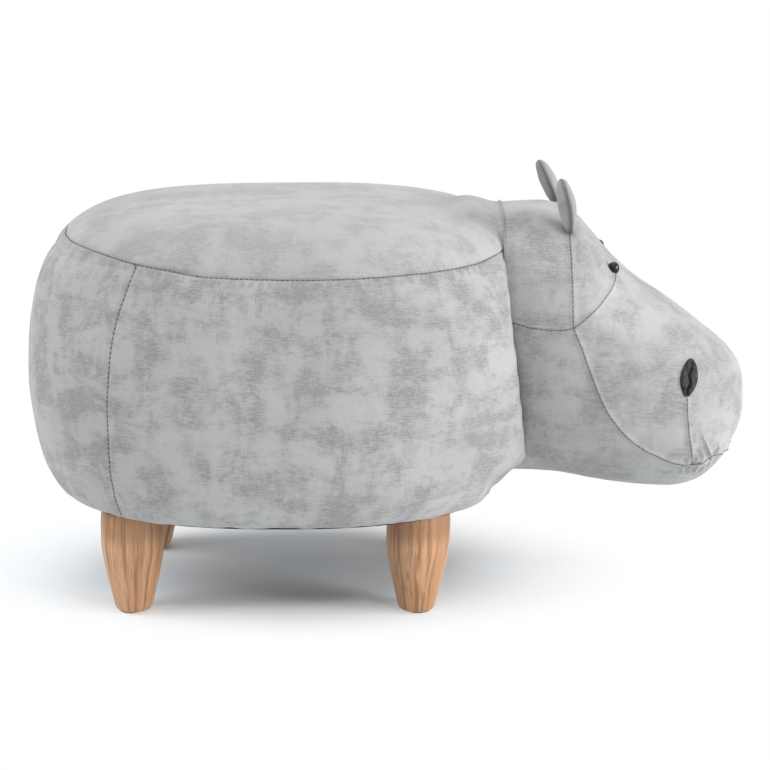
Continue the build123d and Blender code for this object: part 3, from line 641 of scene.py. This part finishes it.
def make_ear(name, side, lean, sizes):
    """A stuffed ear: a leaf-shaped pillow, thick in its middle and thin at its sewn rim.

    Each row is a closed curve of powers of the cosine and sine, as wide and as thick as the leaf is at its
    height. The tip leans back with the square of the height, and the ear is turned and set on the head.
    """
    height, width, thickness = (51 if side > 0 else 52.5) * MM, 38 * MM, 16 * MM
    rows, columns = 60, 72
    level = np.linspace(0, 1, rows)[:, None]
    level = level - 0.06 * np.sin(2 * pi * level)
    leaf = np.interp(level, (0, 0.16, 0.36, 0.60, 0.82, 0.95, 1), (0.14, 0.44, 0.82, 1, 0.80, 0.48, 0.10))
    smooth_leaf = eased(level, (0, 0.16, 0.36, 0.60, 0.80, 0.93, 1), (0.14, 0.44, 0.82, 1, 0.84, 0.52, 0.06))
    leaf = 0.2 * leaf + 0.8 * smooth_leaf
    plump = eased(level, (0, 0.16, 0.36, 0.60, 0.82, 0.95, 1), (0.22, 0.55, 0.90, 1, 0.78, 0.50, 0.10))
    angle = circle(columns)
    across = signed_power(np.cos(angle), 0.9)
    deep = signed_power(np.sin(angle), 1.15)
    y = leaf * across * width / 2
    x = plump * deep * thickness / 2
    z = level * height
    rim = np.abs(np.abs(across) - 1) * leaf * width / 2 + np.abs(x) * 0.5
    x += 1.6 * MM * across**2 * (1 - level)
    x -= 6 * MM * level**2
    points = grid(x, y, z)
    normals = grid_normals(points)
    drop = sizes.wrinkle_height * 0.5 * ripple(y / 0.012, z / 0.014, 30 + side)
    drop += groove(rim, 0.8 * MM, 1.4)
    points = points + normals * (drop * np.clip((1 - level) * 12, 0, 1))[..., None]
    turn = (Matrix.Rotation(radians(-side * 8), 3, "X") @ Matrix.Rotation(radians(-lean), 3, "Y")
            @ Matrix.Rotation(radians(side * -4), 3, "Z"))
    root_z = head_top_height(EAR_X, side * EAR_Y) - 2.5 * MM
    points = points @ np.array(turn).T + np.array((EAR_X, side * EAR_Y, root_z))
    facing = normals @ np.array(turn).T
    rim_rows = slice(int(rows * 0.12), int(rows * 0.93))
    seams = [(points[rim_rows, k], facing[rim_rows, k]) for k in (0, columns // 2)]
    # Painted shade along the rim, and at the ear's base, fading out about a fifth of the way up
    floats = {"seam": rim, "painted_shade": np.clip(1 - level * 4.5, 0, 1)}
    return round_mesh(name, points, grid(y, z), floats), seams


def make_nostril(name, side):
    """A crinkled leather leaf that lies on the snout.

    Rows and columns fill a leaf, round above and pointed below; each point is set on the snout's side and
    raised by the leaf's thickness, which dips along the middle crease and falls to almost nothing at the rim.
    """
    height, width = 33 * MM, 16.5 * MM
    middle_x, middle_z, tilt = 272.9 * MM, 226 * MM, radians(-9)
    share = np.linspace(0.02, 1, 56)[:, None]
    angle = circle(64)
    up = np.sin(angle)
    fullness = np.where(up > 0, 1 - 0.10 * up**2, 1 - 0.42 * np.abs(up) ** 1.6)
    u = share * np.cos(angle) * width / 2 * fullness
    v = share * up * height / 2
    x = middle_x + u * cos(tilt) - v * sin(tilt)
    z = middle_z + u * sin(tilt) + v * cos(tilt)
    base = head_side(x, z, side)
    step = 0.5 * MM
    normal = unit(np.cross(head_side(x + step, z, side) - base, head_side(x, z + step, side) - base))
    normal *= np.sign(normal[..., 1:2] * side)
    # The crease wavers from side to side, and stops short of both ends
    crease = bell(u + 0.9 * MM * np.sin(v / (2.4 * MM)), 1.2) * (np.abs(v) < height * 0.41)
    crinkle = ripple(u / 0.0022, v / 0.0032, 41 + side)
    rim = 1 - share**6
    lift = (1.9 + 0.45 * crinkle - 2 * crease) * rim * MM + 0.15 * MM
    front = base + normal * lift[..., None]
    back = base[::-1] - normal[::-1] * 1.2 * MM
    points = np.concatenate((front, back))
    creases = np.concatenate((crease, np.zeros_like(crease)))
    if side < 0:
        points, creases = points[:, ::-1], creases[:, ::-1]
    return round_mesh(name, points, floats={"crease": creases})


def make_stitches(name, middles, along, outward, length, radius):
    """Short threads laid end to end along seams: each a spindle of six sides, sunk at both ends."""
    across = unit(np.cross(outward, along))
    up = np.cross(along, across)
    # Four rings to a thread: their places along it, girths and heights
    places = np.array((-0.5, -0.3, 0.3, 0.5)) * length
    girths = np.array((0.25, 1.0, 1.0, 0.25)) * radius
    bow = np.array((-0.9, 0.35, 0.35, -0.9)) * radius
    turn = circle(6)
    beside = girths[:, None] * np.cos(turn)
    above = girths[:, None] * np.sin(turn) + bow[:, None]
    middles, along, across, up = (each[:, None, None] for each in (middles, along, across, up))
    vertices = middles + along * places[:, None, None] + across * beside[..., None] + up * above[..., None]
    index = np.arange(beside.size).reshape(beside.shape)
    quads = quads_between(index)
    one = np.concatenate((quads.ravel(), np.roll(index[0, ::-1], 1), index[-1]))
    loops = (np.arange(len(middles))[:, None] * index.size + one).ravel()
    face_sizes = np.tile(np.array([4] * len(quads) + [len(turn)] * 2), len(middles))
    return mesh_piece(name, vertices.reshape(-1, 3), loops, face_sizes)


def sew(name, seams, sizes):
    """One mesh of all the stitches along some seams, each seam given as its points and outward directions."""
    middles, along, outward = [], [], []
    step = sizes.stitch_pitch / 4
    for line, facing in seams:
        run = run_along(line)
        at = np.arange(sizes.stitch_pitch / 2, run[-1], sizes.stitch_pitch)
        middles.append(placed_along(at, run, line))
        along.append(unit(placed_along(at + step, run, line) - placed_along(at - step, run, line)))
        outward.append(placed_along(at, run, facing))
    return make_stitches(name, np.concatenate(middles), np.concatenate(along), np.concatenate(outward),
                         sizes.stitch_length, sizes.thread_radius)


def make_hem(radius):
    """The black tape round the underside's edge, which also stands in for the shade under that edge: a thin
    round bar that follows the bottom oval.
    """
    x, y = body_oval(*(reach - radius for reach in body_reaches(np.zeros(1))))
    path = even_steps(grid(x, y, BODY_BOTTOM), 300)[0]
    along = unit(np.roll(path, -1, axis=0) - np.roll(path, 1, axis=0))
    outward = np.cross(along, (0, 0, 1))
    angle = circle(8)
    ring = outward[:, None] * np.cos(angle)[:, None] + np.array((0, 0, 1)) * np.sin(angle)[:, None]
    points = path[:, None] + ring * radius
    index = np.arange(len(path) * len(angle)).reshape(len(path), len(angle))
    onward, around = np.roll(index, -1, axis=0), np.roll(index, -1, axis=1)
    quads = grid(index, onward, np.roll(onward, -1, axis=1), around).reshape(-1, 4)
    return mesh_piece("hem_tape_and_shade", points.reshape(-1, 3), quads.ravel(), np.full(len(quads), 4))


def make_leg(name, x, y, lean):
    """A turned leg: its girth table swept round, tipped a little so that its foot stands further back."""
    level = np.concatenate((np.linspace(0, 0.04, 7)[:-1], np.linspace(0.04, 1, 50)))[:, None]
    girth = eased(level, (0, 0.012, 0.04, 0.15, 0.30, 0.50, 0.70, 0.86, 1),
                  (14.2, 16.2, 17.4, 20.0, 23.4, 27.2, 29.4, 29.4, 28.2)) * MM
    angle = circle(72)
    c, s = np.cos(angle), np.sin(angle)
    points = grid(x + (level - 0.4) * lean + girth * c, y + girth * s, FELT_HEIGHT + level * LEG_HEIGHT)
    # The grain runs straight up a round bar, and differs from leg to leg
    floats = {"grain_x": x * 3 + GRAIN_RADIUS * c, "grain_y": y + GRAIN_RADIUS * s}
    return round_mesh(name, points, floats=floats)


def make_eye(name, side):
    """A glossy bead, a little taller than wide, set into the brow."""
    x, y = EYE_X, side * EYE_Y
    sunk = (1.5 if side > 0 else -1.7) * MM
    step = 0.5 * MM
    z = head_top_height(x, y)
    slope_x = (head_top_height(x + step, y) - z) / step
    slope_y = (head_top_height(x, y + step) - z) / step
    middle = np.array((x, y, z)) - unit(np.array((-slope_x, -slope_y, 1.0))) * sunk
    tilt = np.linspace(-pi / 2, pi / 2, 26)[1:-1, None]
    turn = circle(36)
    girth = np.cos(tilt) * 5.3 * MM
    bead = grid(girth * np.cos(turn), girth * np.sin(turn), np.sin(tilt) * 5.9 * MM)
    return round_mesh(name, middle + bead)


class Nodes:
    """A short way to lay shader nodes: each call adds one and joins what it is given."""

    def __init__(self, owner, output="OutputMaterial"):
        owner.use_nodes = True
        self.owner = owner
        self.tree = owner.node_tree
        self.tree.nodes.clear()
        self.output = self.add(output)

    def put(self, socket, value):
        """Joins a node's output to a socket, or sets the socket's own value."""
        if isinstance(value, bpy.types.NodeSocket):
            self.tree.links.new(value, socket)
        elif hasattr(value, "__len__") and len(value) == 3 and socket.type == "RGBA":
            socket.default_value = (*value, 1)
        else:
            socket.default_value = value

    def add(self, kind, inputs=(), **settings):
        """One node with its settings; inputs pairs socket names or numbers with values."""
        node = self.tree.nodes.new("ShaderNode" + kind)
        for key, value in settings.items():
            setattr(node, key, value)
        for key, value in dict(inputs).items():
            self.put(node.inputs[key], value)
        return node

    def maths(self, operation, a, b, clamp=False):
        """Arithmetic on two values."""
        return self.add("Math", {0: a, 1: b}, operation=operation, use_clamp=clamp).outputs[0]

    def plus(self, a, b, clamp=False):
        """The sum of two values, held from 0 to 1 if clamped."""
        return self.maths("ADD", a, b, clamp)

    def minus(self, a, b):
        """One value less another."""
        return self.maths("SUBTRACT", a, b)

    def times(self, a, b):
        """The product of two values."""
        return self.maths("MULTIPLY", a, b)

    def ranged(self, value, low, high, to_low=0.0, to_high=1.0):
        """Maps a value from one range to another, held at both ends and smooth between."""
        inputs = {"Value": value, "From Min": low, "From Max": high, "To Min": to_low, "To Max": to_high}
        return self.add("MapRange", inputs, interpolation_type="SMOOTHSTEP").outputs[0]

    def mixed(self, share, a, b):
        """Mixes two colours by a share."""
        node = self.add("Mix", data_type="RGBA")
        self.put(node.inputs["Factor"], share)
        self.put(node.inputs[6], a)
        self.put(node.inputs[7], b)
        return node.outputs[2]

    def noise(self, vector, scale, detail=3.0, roughness=0.5, distortion=0.0):
        """Cloudy noise from 0 to 1."""
        inputs = {"Vector": vector, "Scale": scale, "Detail": detail, "Roughness": roughness,
                  "Distortion": distortion}
        return self.add("TexNoise", inputs).outputs["Fac"]

    def mapped(self, vector, **inputs):
        """A vector moved, turned or scaled differently along each axis."""
        return self.add("Mapping", {"Vector": vector, **inputs}).outputs[0]

    def streaks(self, vector, amounts, detail=3.0, roughness=0.5, distortion=0.0):
        """Noise that is drawn out along some axes."""
        return self.noise(self.mapped(vector, Scale=amounts), 1.0, detail, roughness, distortion)

    def attribute(self, name):
        """A value stored on the piece's points."""
        return self.add("Attribute", attribute_name=name).outputs["Fac"]

    def objects(self):
        """The piece's own coordinates."""
        return self.add("TexCoord").outputs["Object"]

    def bump(self, height, strength, distance, normal=None):
        """A bumped normal."""
        inputs = {"Height": height, "Strength": strength, "Distance": distance}
        if normal is not None:
            inputs["Normal"] = normal
        return self.add("Bump", inputs).outputs[0]

    def seen(self):
        """1 for what the camera sees, directly, mirrored or refracted, and 0 for light on other paths."""
        rays = self.add("LightPath").outputs
        mirrored = self.maths("MAXIMUM", rays["Is Glossy Ray"], rays["Is Transmission Ray"])
        return self.maths("MAXIMUM", rays["Is Camera Ray"], mirrored)

    def show(self, shader):
        """Joins the last shader to the output."""
        self.put(self.output.inputs[0], shader)

    def finish(self, color, roughness, normal=None, **constants):
        """The shader itself, with constant values on its own sockets."""
        inputs = {"Base Color": color, "Roughness": roughness}
        if normal is not None:
            inputs["Normal"] = normal
        for key, value in constants.items():
            inputs[key.replace("_", " ")] = value
        self.show(self.add("BsdfPrincipled", inputs).outputs[0])
        return self.owner


def material_nodes(name):
    """Nodes for a new material."""
    return Nodes(bpy.data.materials.new(name))


def fabric(name, colours, mottle_seed, seat=False, seam_reach=0.0015, seam_shade=0.40):
    """Distressed microfibre: soft clouds, and darker worn patches made of crossed fine streaks."""
    light, worn_dark, painted_shade_colour = colours
    n = material_nodes(name)
    objects = n.objects()
    shifted = n.mapped(objects, Location=(mottle_seed, mottle_seed * 0.7, 0))
    if seat:
        below = n.attribute("under_top")
        cloth = n.mixed(n.ranged(below, 0, 0.001), n.add("UVMap", uv_map="Cloth").outputs[0], shifted)
    else:
        cloth = n.mapped(shifted, Rotation=(pi / 2, 0, 0))
    tall = n.streaks(cloth, (38.0, 19.0, 26.0), 4.0, 0.6, 0.4)
    wide = n.streaks(cloth, (20.0, 46.0, 26.0), 5.0, 0.65, 0.3)
    slow = n.noise(shifted, 9.0, 2.0, 0.5)
    level = n.streaks(cloth, (130.0, 820.0, 300.0), 3.0, 0.7)
    upright = n.streaks(cloth, (820.0, 110.0, 300.0), 3.0, 0.7)
    grain = n.noise(objects, 800.0, 2.0, 0.6)
    hatch = n.maths("MINIMUM", n.ranged(level, 0.36, 0.60), n.ranged(upright, 0.30, 0.56))
    field = n.plus(n.times(tall, 0.5), n.times(wide, 0.5))
    patch_edges, patch_dark = ((0.38, 0.58), 1.12) if seat else ((0.36, 0.60), 0.90)
    worn = n.ranged(field, *patch_edges, 1.0, 0.0)
    streaked = n.times(worn, n.ranged(hatch, 0.0, 1.0, patch_dark, 0.42))
    dark = n.plus(streaked, n.ranged(slow, 0.30, 0.70, 0.30, 0.0))
    dark = n.plus(dark, n.times(n.minus(0.6, hatch), 0.14))
    dark = n.plus(dark, n.times(n.minus(grain, 0.5), 0.3), clamp=True)
    if seat:
        dark = n.times(dark, n.ranged(n.attribute("top"), 0, 1, 1.0, 0.62))
    color = n.mixed(dark, light, worn_dark)
    # Painted shade: the fabric darkens towards the seam colour close to each seam, as shade in the seam's
    # groove
    color = n.mixed(n.ranged(n.attribute("seam"), 0.0001, seam_reach, seam_shade, 0.0), color, painted_shade_colour)
    if not seat:
        # Painted shade in creases, round the ear roots and at the ears' bases
        color = n.mixed(n.ranged(n.attribute("painted_shade"), 0.05, 1.0, 0.0, 0.75), color, painted_shade_colour)
    normal = n.bump(n.plus(grain, n.times(hatch, 0.6)), 0.30, 0.0004)
    normal = n.bump(n.noise(shifted, 42.0, 3.0, 0.55, 0.6), 0.30, 0.0026, normal)
    if seat:
        # Painted shade: a dark line along the lower edge, where the wall turns under
        color = n.mixed(n.ranged(n.attribute("hem"), 0.0008, 0.0035, 0.8, 0.0), color, painted_shade_colour)
        # Fine ticks gathered in a band under the top seam
        ticks = n.ranged(n.streaks(cloth, (230.0, 14.0, 230.0), 1.5, 0.5), 0.40, 0.60, 1.0, 0.0)
        band = n.times(n.ranged(below, -0.0105, -0.0065), n.ranged(below, -0.0030, -0.0015, 1.0, 0.0))
        ticks = n.times(ticks, band)
        color = n.mixed(n.times(ticks, 0.45), color, worn_dark)
        normal = n.bump(ticks, 0.35, 0.0008, normal)
    return n.finish(color, n.ranged(dark, 0, 1, 0.92, 0.80), normal, Sheen_Weight=0.12, Sheen_Roughness=0.5,
                    Specular_IOR_Level=0.25)


def plain(name, light, dark, scale, roughness, stretch=(1, 1, 1), **constants):
    """A simple procedural surface: two tones mixed by stretched noise, with a bump of the same noise."""
    n = material_nodes(name)
    cloud = n.noise(n.mapped(n.objects(), Scale=stretch), scale, 4.0, 0.6)
    color = n.mixed(n.ranged(cloud, 0.3, 0.7), light, dark)
    return n.finish(color, roughness, n.bump(cloud, 0.3, 0.0003), **constants)


def leather(name, light, dark):
    """Crinkled leather: pale where the crinkle stands up, dark in its creases."""
    n = material_nodes(name)
    crinkle = n.noise(n.objects(), 420.0, 4.0, 0.62, 0.8)
    # Painted shade: the leather is darkened in the crinkle's creases and along the middle crease
    shade = n.maths("MAXIMUM", n.ranged(crinkle, 0.42, 0.62, 1.0, 0.0), n.attribute("crease"))
    return n.finish(n.mixed(shade, light, dark), 0.5, n.bump(crinkle, 0.6, 0.0012), Specular_IOR_Level=0.22)


def wood(name, light, middle, dark):
    """Pale hardwood: streaks stretched along the grain, darker pores, and slow changes of tone."""
    n = material_nodes(name)
    height = n.add("SeparateXYZ", {0: n.objects()}).outputs[2]
    grain = n.add("CombineXYZ", {0: n.attribute("grain_x"), 1: n.attribute("grain_y"), 2: height}).outputs[0]
    shift = n.times(n.minus(n.streaks(grain, (12, 12, 14), 2.0), 0.5), 0.010)
    bend = n.add("CombineXYZ", {0: shift, 1: shift}).outputs[0]
    wavy = n.add("VectorMath", {0: grain, 1: bend}, operation="ADD").outputs[0]
    long = n.streaks(wavy, (240, 240, 6), 4.0, 0.6)
    bands = n.streaks(wavy, (70, 70, 5), 3.0, 0.55)
    pores = n.streaks(wavy, (900, 900, 32), 2.0, 0.6)
    color = n.mixed(n.ranged(bands, 0.38, 0.62), light, middle)
    # The last share paints shade on the leg's top, where the body above shades it
    for share in (n.ranged(long, 0.47, 0.62, 0.0, 0.72), n.ranged(pores, 0.55, 0.68, 0.0, 0.50),
                  n.ranged(height, 0.066, 0.084, 0.0, 0.50)):
        color = n.mixed(share, color, dark)
    relief = n.minus(1.0, n.ranged(pores, 0.60, 0.75))
    return n.finish(color, n.ranged(long, 0.3, 0.7, 0.38, 0.52), n.bump(relief, 0.25, 0.0003),
                    Coat_Weight=0.15, Coat_Roughness=0.35, Specular_IOR_Level=0.4)


def floor_paper(color):
    """Pale paper that fades into the white surround away from the object."""
    n = material_nodes("floor_paper")
    # The fade is centred and stretched round the object's shadow, and lifts that cast shadow towards white
    # away from the middle: painted light
    near = n.mapped(n.objects(), Location=(0.37, -0.14, 0.0), Scale=(3.2, 5.6, 1.0))
    away = n.add("VectorMath", {0: near}, operation="LENGTH").outputs["Value"]
    paper = n.add("BsdfDiffuse", {"Color": color}).outputs[0]
    clear = n.add("BsdfTransparent").outputs[0]
    share = n.times(n.ranged(away, 0.45, 1.2), n.seen())
    n.show(n.add("MixShader", {0: share, 1: paper, 2: clear}).outputs[0])
    return n.owner


def studio_world(world):
    """A surround that the camera sees as white, and that lights the object less than white would."""
    n = Nodes(world, "OutputWorld")
    tent, white = (n.add("Background", {"Color": (1, 1, 1), "Strength": strength}).outputs[0]
                   for strength in (TENT_LIGHT, 1.0))
    n.show(n.add("MixShader", {0: n.seen(), 1: tent, 2: white}).outputs[0])


def wear(piece, material):
    """Gives a piece one material."""
    piece.data.materials.clear()
    piece.data.materials.append(material)


def finish_piece(piece, material, slot_name, *nodes):
    """Gives a piece its material, ties it to the root and hides the solids it stands for; slot_name is not
    used.
    """
    wear(piece, material)
    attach(piece, "root")
    if nodes:
        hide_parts(*nodes)


def add_stitches(name, seams, sizes):
    """Sews thread along seams, as a piece of its own."""
    finish_piece(sew(name, seams, sizes), bpy.data.materials["thread"], "dust_cloth")


def size(title, words, default):
    """A size, with its default in millimetres."""
    return FloatProperty(name=title, description=words, default=default * MM, unit="LENGTH")


def tone(title, words, default):
    """A colour property in linear light."""
    return FloatVectorProperty(name=title, description=words, default=default, subtype="COLOR", size=3,
                               min=0, max=1)


class FootstoolSizes(bpy.types.PropertyGroup):
    seam_depth: size("Seam depth", "How far a seam draws the fabric in", 1.3)
    wrinkle_height: size("Wrinkle height", "Height of puckers and slow waves", 1.0)
    stitch_pitch: size("Stitch pitch", "Distance from one stitch to the next", 4.4)
    stitch_length: size("Stitch length", "Length of thread that shows", 3.5)
    thread_radius: size("Thread radius", "Half the thread's thickness", 0.38)
    hem_radius: size("Hem radius", "Half the thickness of the black edge tape", 1.1)


class FootstoolColours(bpy.types.PropertyGroup):
    fabric_light: tone("Fabric light", "Pale areas of the fabric", (0.403, 0.396, 0.390))
    fabric_dark: tone("Fabric dark", "Worn dark areas of the fabric", (0.241, 0.237, 0.234))
    # Painted shade: the colour towards which the fabric is darkened in seams, creases, round the ear roots
    # and along the lower edge
    fabric_seam_shade: tone("Fabric in seams", "Fabric deep in a seam", (0.08, 0.08, 0.083))
    thread: tone("Thread", "Sewing thread", (0.06, 0.06, 0.062))
    nostril_light: tone("Nostril light", "Raised leather", (0.042, 0.041, 0.043))
    # Painted shade: the leather's colour in its creases
    nostril_crease_shade: tone("Nostril dark", "Creased leather", (0.006, 0.006, 0.007))
    wood_light: tone("Wood light", "Pale wood", (0.60, 0.335, 0.175))
    wood_middle: tone("Wood middle", "Middle tone of the wood", (0.45, 0.235, 0.115))
    wood_dark: tone("Wood dark", "Pores and dark grain", (0.22, 0.10, 0.045))
    floor: tone("Floor", "Studio floor", (0.85, 0.90, 0.94))


def fabric_tones(colours):
    """The fabric's pale and worn colours, and the colour of the painted shade in its seams and creases."""
    return colours.fabric_light, colours.fabric_dark, colours.fabric_seam_shade


class FOOTSTOOL_OT_body(bpy.types.Operator):
    """Makes the padded seat with its seams and stitches"""
    bl_idname = "footstool.body"
    bl_label = "Seat body"

    def execute(self, context):
        sizes, colours = context.scene.footstool_sizes, context.scene.footstool_colours
        piece, seams = make_body(sizes)
        cloth = fabric("side_fabric", fabric_tones(colours), 0.0, seat=True)
        finish_piece(piece, cloth, "side_fabric", "cover_top_panel", "cover_rear_panel", "cover_right_panel",
                     "cover_left_panel", "wall_foam_front", "wall_foam_rear", "wall_foam_right",
                     "wall_foam_left", "seat_foam")
        plain("thread", colours.thread, colours.thread, 900.0, 0.8)
        add_stitches("seat_stitches", seams, sizes)
        # The black tape stands partly for the dust cover's edge and partly for painted shade under the body's
        # lower edge
        tape_and_shade = plain("hem_cloth_and_shade", (0.014, 0.014, 0.014), (0.006, 0.006, 0.006), 700.0, 0.95)
        finish_piece(make_hem(sizes.hem_radius), tape_and_shade, "dust_cloth")
        return {"FINISHED"}


class FOOTSTOOL_OT_head(bpy.types.Operator):
    """Makes the stuffed head with its seams"""
    bl_idname = "footstool.head"
    bl_label = "Head"

    def execute(self, context):
        sizes, colours = context.scene.footstool_sizes, context.scene.footstool_colours
        piece, seams = make_head(sizes)
        cloth = fabric("head_fabric", fabric_tones(colours), 3.1)
        finish_piece(piece, cloth, "head_fabric", "head_crown_panel", "head_forehead_panel",
                     "head_jaw_panel", "head_muzzle_panel", "head_filling")
        add_stitches("head_stitches", seams, sizes)
        return {"FINISHED"}


class FOOTSTOOL_OT_face(bpy.types.Operator):
    """Makes the ears, the eyes and the nostril patches"""
    bl_idname = "footstool.face"
    bl_label = "Ears, eyes and nostrils"

    def execute(self, context):
        sizes, colours = context.scene.footstool_sizes, context.scene.footstool_colours
        light, dark, seam_shade_colour = fabric_tones(colours)
        # Painted shade: the ears' fabric is a darkened copy of the seat's
        shaded = (tuple(EAR_PAINTED_SHADE * value for value in each) for each in (light, dark))
        # The ear fabric's seam darkening reaches further and is deeper: painted shade along the rim
        cloth = fabric("ear_fabric", (*shaded, seam_shade_colour), 5.7, seam_reach=0.005, seam_shade=0.6)
        hide = leather("nostril_leather", colours.nostril_light, colours.nostril_crease_shade)
        gloss = material_nodes("eye_gloss").finish((0.003, 0.003, 0.003), 0.08, Specular_IOR_Level=0.4)
        for name, side, lean in (("left", 1, 15), ("right", -1, 2.5)):
            ear, seams = make_ear("ear_pad_" + name, side, lean, sizes)
            finish_piece(ear, cloth, "ear_fabric", "ear_" + name)
            add_stitches("ear_stitches_" + name, seams, sizes)
            finish_piece(make_eye("eye_bead_" + name, side), gloss, "eye_gloss", "eye_" + name)
            patch = make_nostril("nostril_patch_" + name, side)
            finish_piece(patch, hide, "nostril_leather", "nostril_" + name)
        return {"FINISHED"}


class FOOTSTOOL_OT_solids(bpy.types.Operator):
    """Makes the legs and gives the carried-over solids their materials"""
    bl_idname = "footstool.solids"
    bl_label = "Legs and fittings"

    def execute(self, context):
        colours = context.scene.footstool_colours
        looks = {
            "felt_pad": plain("felt", (0.30, 0.20, 0.125), (0.24, 0.155, 0.095), 900.0, 0.95),
            "eye_washers": plain("washer_plastic", (0.05, 0.05, 0.05), (0.03, 0.03, 0.03), 300.0, 0.6),
            "wall_liner": plain("hardboard", (0.20, 0.12, 0.07), (0.15, 0.09, 0.05), 400.0, 0.7),
            "frame_post": plain("pine", (0.62, 0.44, 0.26), (0.48, 0.31, 0.17), 1.0, 0.6, (90, 90, 8)),
            STEEL_NODES: plain("zinc_steel", (0.55, 0.55, 0.56), (0.42, 0.42, 0.43), 500.0, 0.35,
                               Metallic=1.0),
            "dust_cover": plain("dust_cloth", (0.014, 0.014, 0.014), (0.008, 0.008, 0.008), 700.0, 0.95),
            BOARD_NODES: plain("plywood", (0.50, 0.35, 0.21), (0.38, 0.25, 0.14), 1.0, 0.65,
                               (6, 120, 300)),
        }
        timber = wood("leg_wood", colours.wood_light, colours.wood_middle, colours.wood_dark)
        for end, x, lean in (("rear", -233.2 * MM, 1.5 * MM), ("front", 30 * MM, 2 * MM)):
            for name, y in (("left", LEG_Y), ("right", -LEG_Y)):
                leg = make_leg(f"turned_leg_{end}_{name}", x, y, lean)
                finish_piece(leg, timber, "leg_wood", f"leg_{end}_{name}")
        for name, node in frame["nodes"].items():
            fitting = [material for start, material in looks.items() if name.startswith(start)]
            if fitting:
                wear(node, fitting[0])
        return {"FINISHED"}


class FOOTSTOOL_OT_studio(bpy.types.Operator):
    """Sets the floor, lights, background and camera"""
    bl_idname = "footstool.studio"
    bl_label = "Studio"

    def execute(self, context):
        corners = np.array(((-1, -1, 0), (1, -1, 0), (1, 1, 0), (-1, 1, 0))) * FLOOR_REACH
        floor = mesh_piece("floor", corners, np.arange(4), np.array([4]))
        wear(floor, floor_paper(context.scene.footstool_colours.floor))
        context.scene.world = bpy.data.worlds.new("studio")
        studio_world(context.scene.world)
        for name, place, target, width, power in SOFT_BOXES:
            light = bpy.data.lights.new(name, "AREA")
            light.shape = "SQUARE"
            light.size = width
            light.energy = power
            lamp = bpy.data.objects.new(name, light)
            lamp.location = place
            lamp.rotation_euler = (Vector(target) - Vector(place)).to_track_quat("-Z", "Y").to_euler()
            context.scene.collection.objects.link(lamp)
        lens = bpy.data.cameras.new("camera")
        lens.sensor_width = 36
        lens.lens = CAMERA_LENS
        camera = bpy.data.objects.new("camera", lens)
        camera.location = (0, -CAMERA_AWAY * cos(CAMERA_LIFT), AIM_Z + CAMERA_AWAY * sin(CAMERA_LIFT))
        camera.rotation_euler = (pi / 2 - CAMERA_LIFT, 0, 0)
        context.scene.collection.objects.link(camera)
        context.scene.camera = camera
        context.scene.view_settings.view_transform = "Standard"
        return {"FINISHED"}


class FOOTSTOOL_PT_panel(bpy.types.Panel):
    """Lists the footstool's steps, sizes and colours"""
    bl_idname = "FOOTSTOOL_PT_panel"
    bl_label = "Footstool"
    bl_space_type = "VIEW_3D"
    bl_region_type = "UI"
    bl_category = "Footstool"

    def draw(self, context):
        for operator in OPERATORS:
            self.layout.operator(operator.bl_idname)
        for group in (context.scene.footstool_sizes, context.scene.footstool_colours):
            for key in group.__annotations__:
                self.layout.prop(group, key)


OPERATORS = (FOOTSTOOL_OT_body, FOOTSTOOL_OT_head, FOOTSTOOL_OT_face, FOOTSTOOL_OT_solids,
             FOOTSTOOL_OT_studio)
CLASSES = (FootstoolSizes, FootstoolColours, *OPERATORS, FOOTSTOOL_PT_panel)


def register():
    for each in CLASSES:
        bpy.utils.register_class(each)
    bpy.types.Scene.footstool_sizes = PointerProperty(type=FootstoolSizes)
    bpy.types.Scene.footstool_colours = PointerProperty(type=FootstoolColours)


def unregister():
    del bpy.types.Scene.footstool_colours
    del bpy.types.Scene.footstool_sizes
    for each in reversed(CLASSES):
        bpy.utils.unregister_class(each)


def main():
    """Runs every step."""
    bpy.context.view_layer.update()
    register()
    bpy.ops.footstool.body()
    bpy.ops.footstool.head()
    bpy.ops.footstool.face()
    bpy.ops.footstool.solids()
    bpy.ops.footstool.studio()


if __name__ == "__main__":
    main()
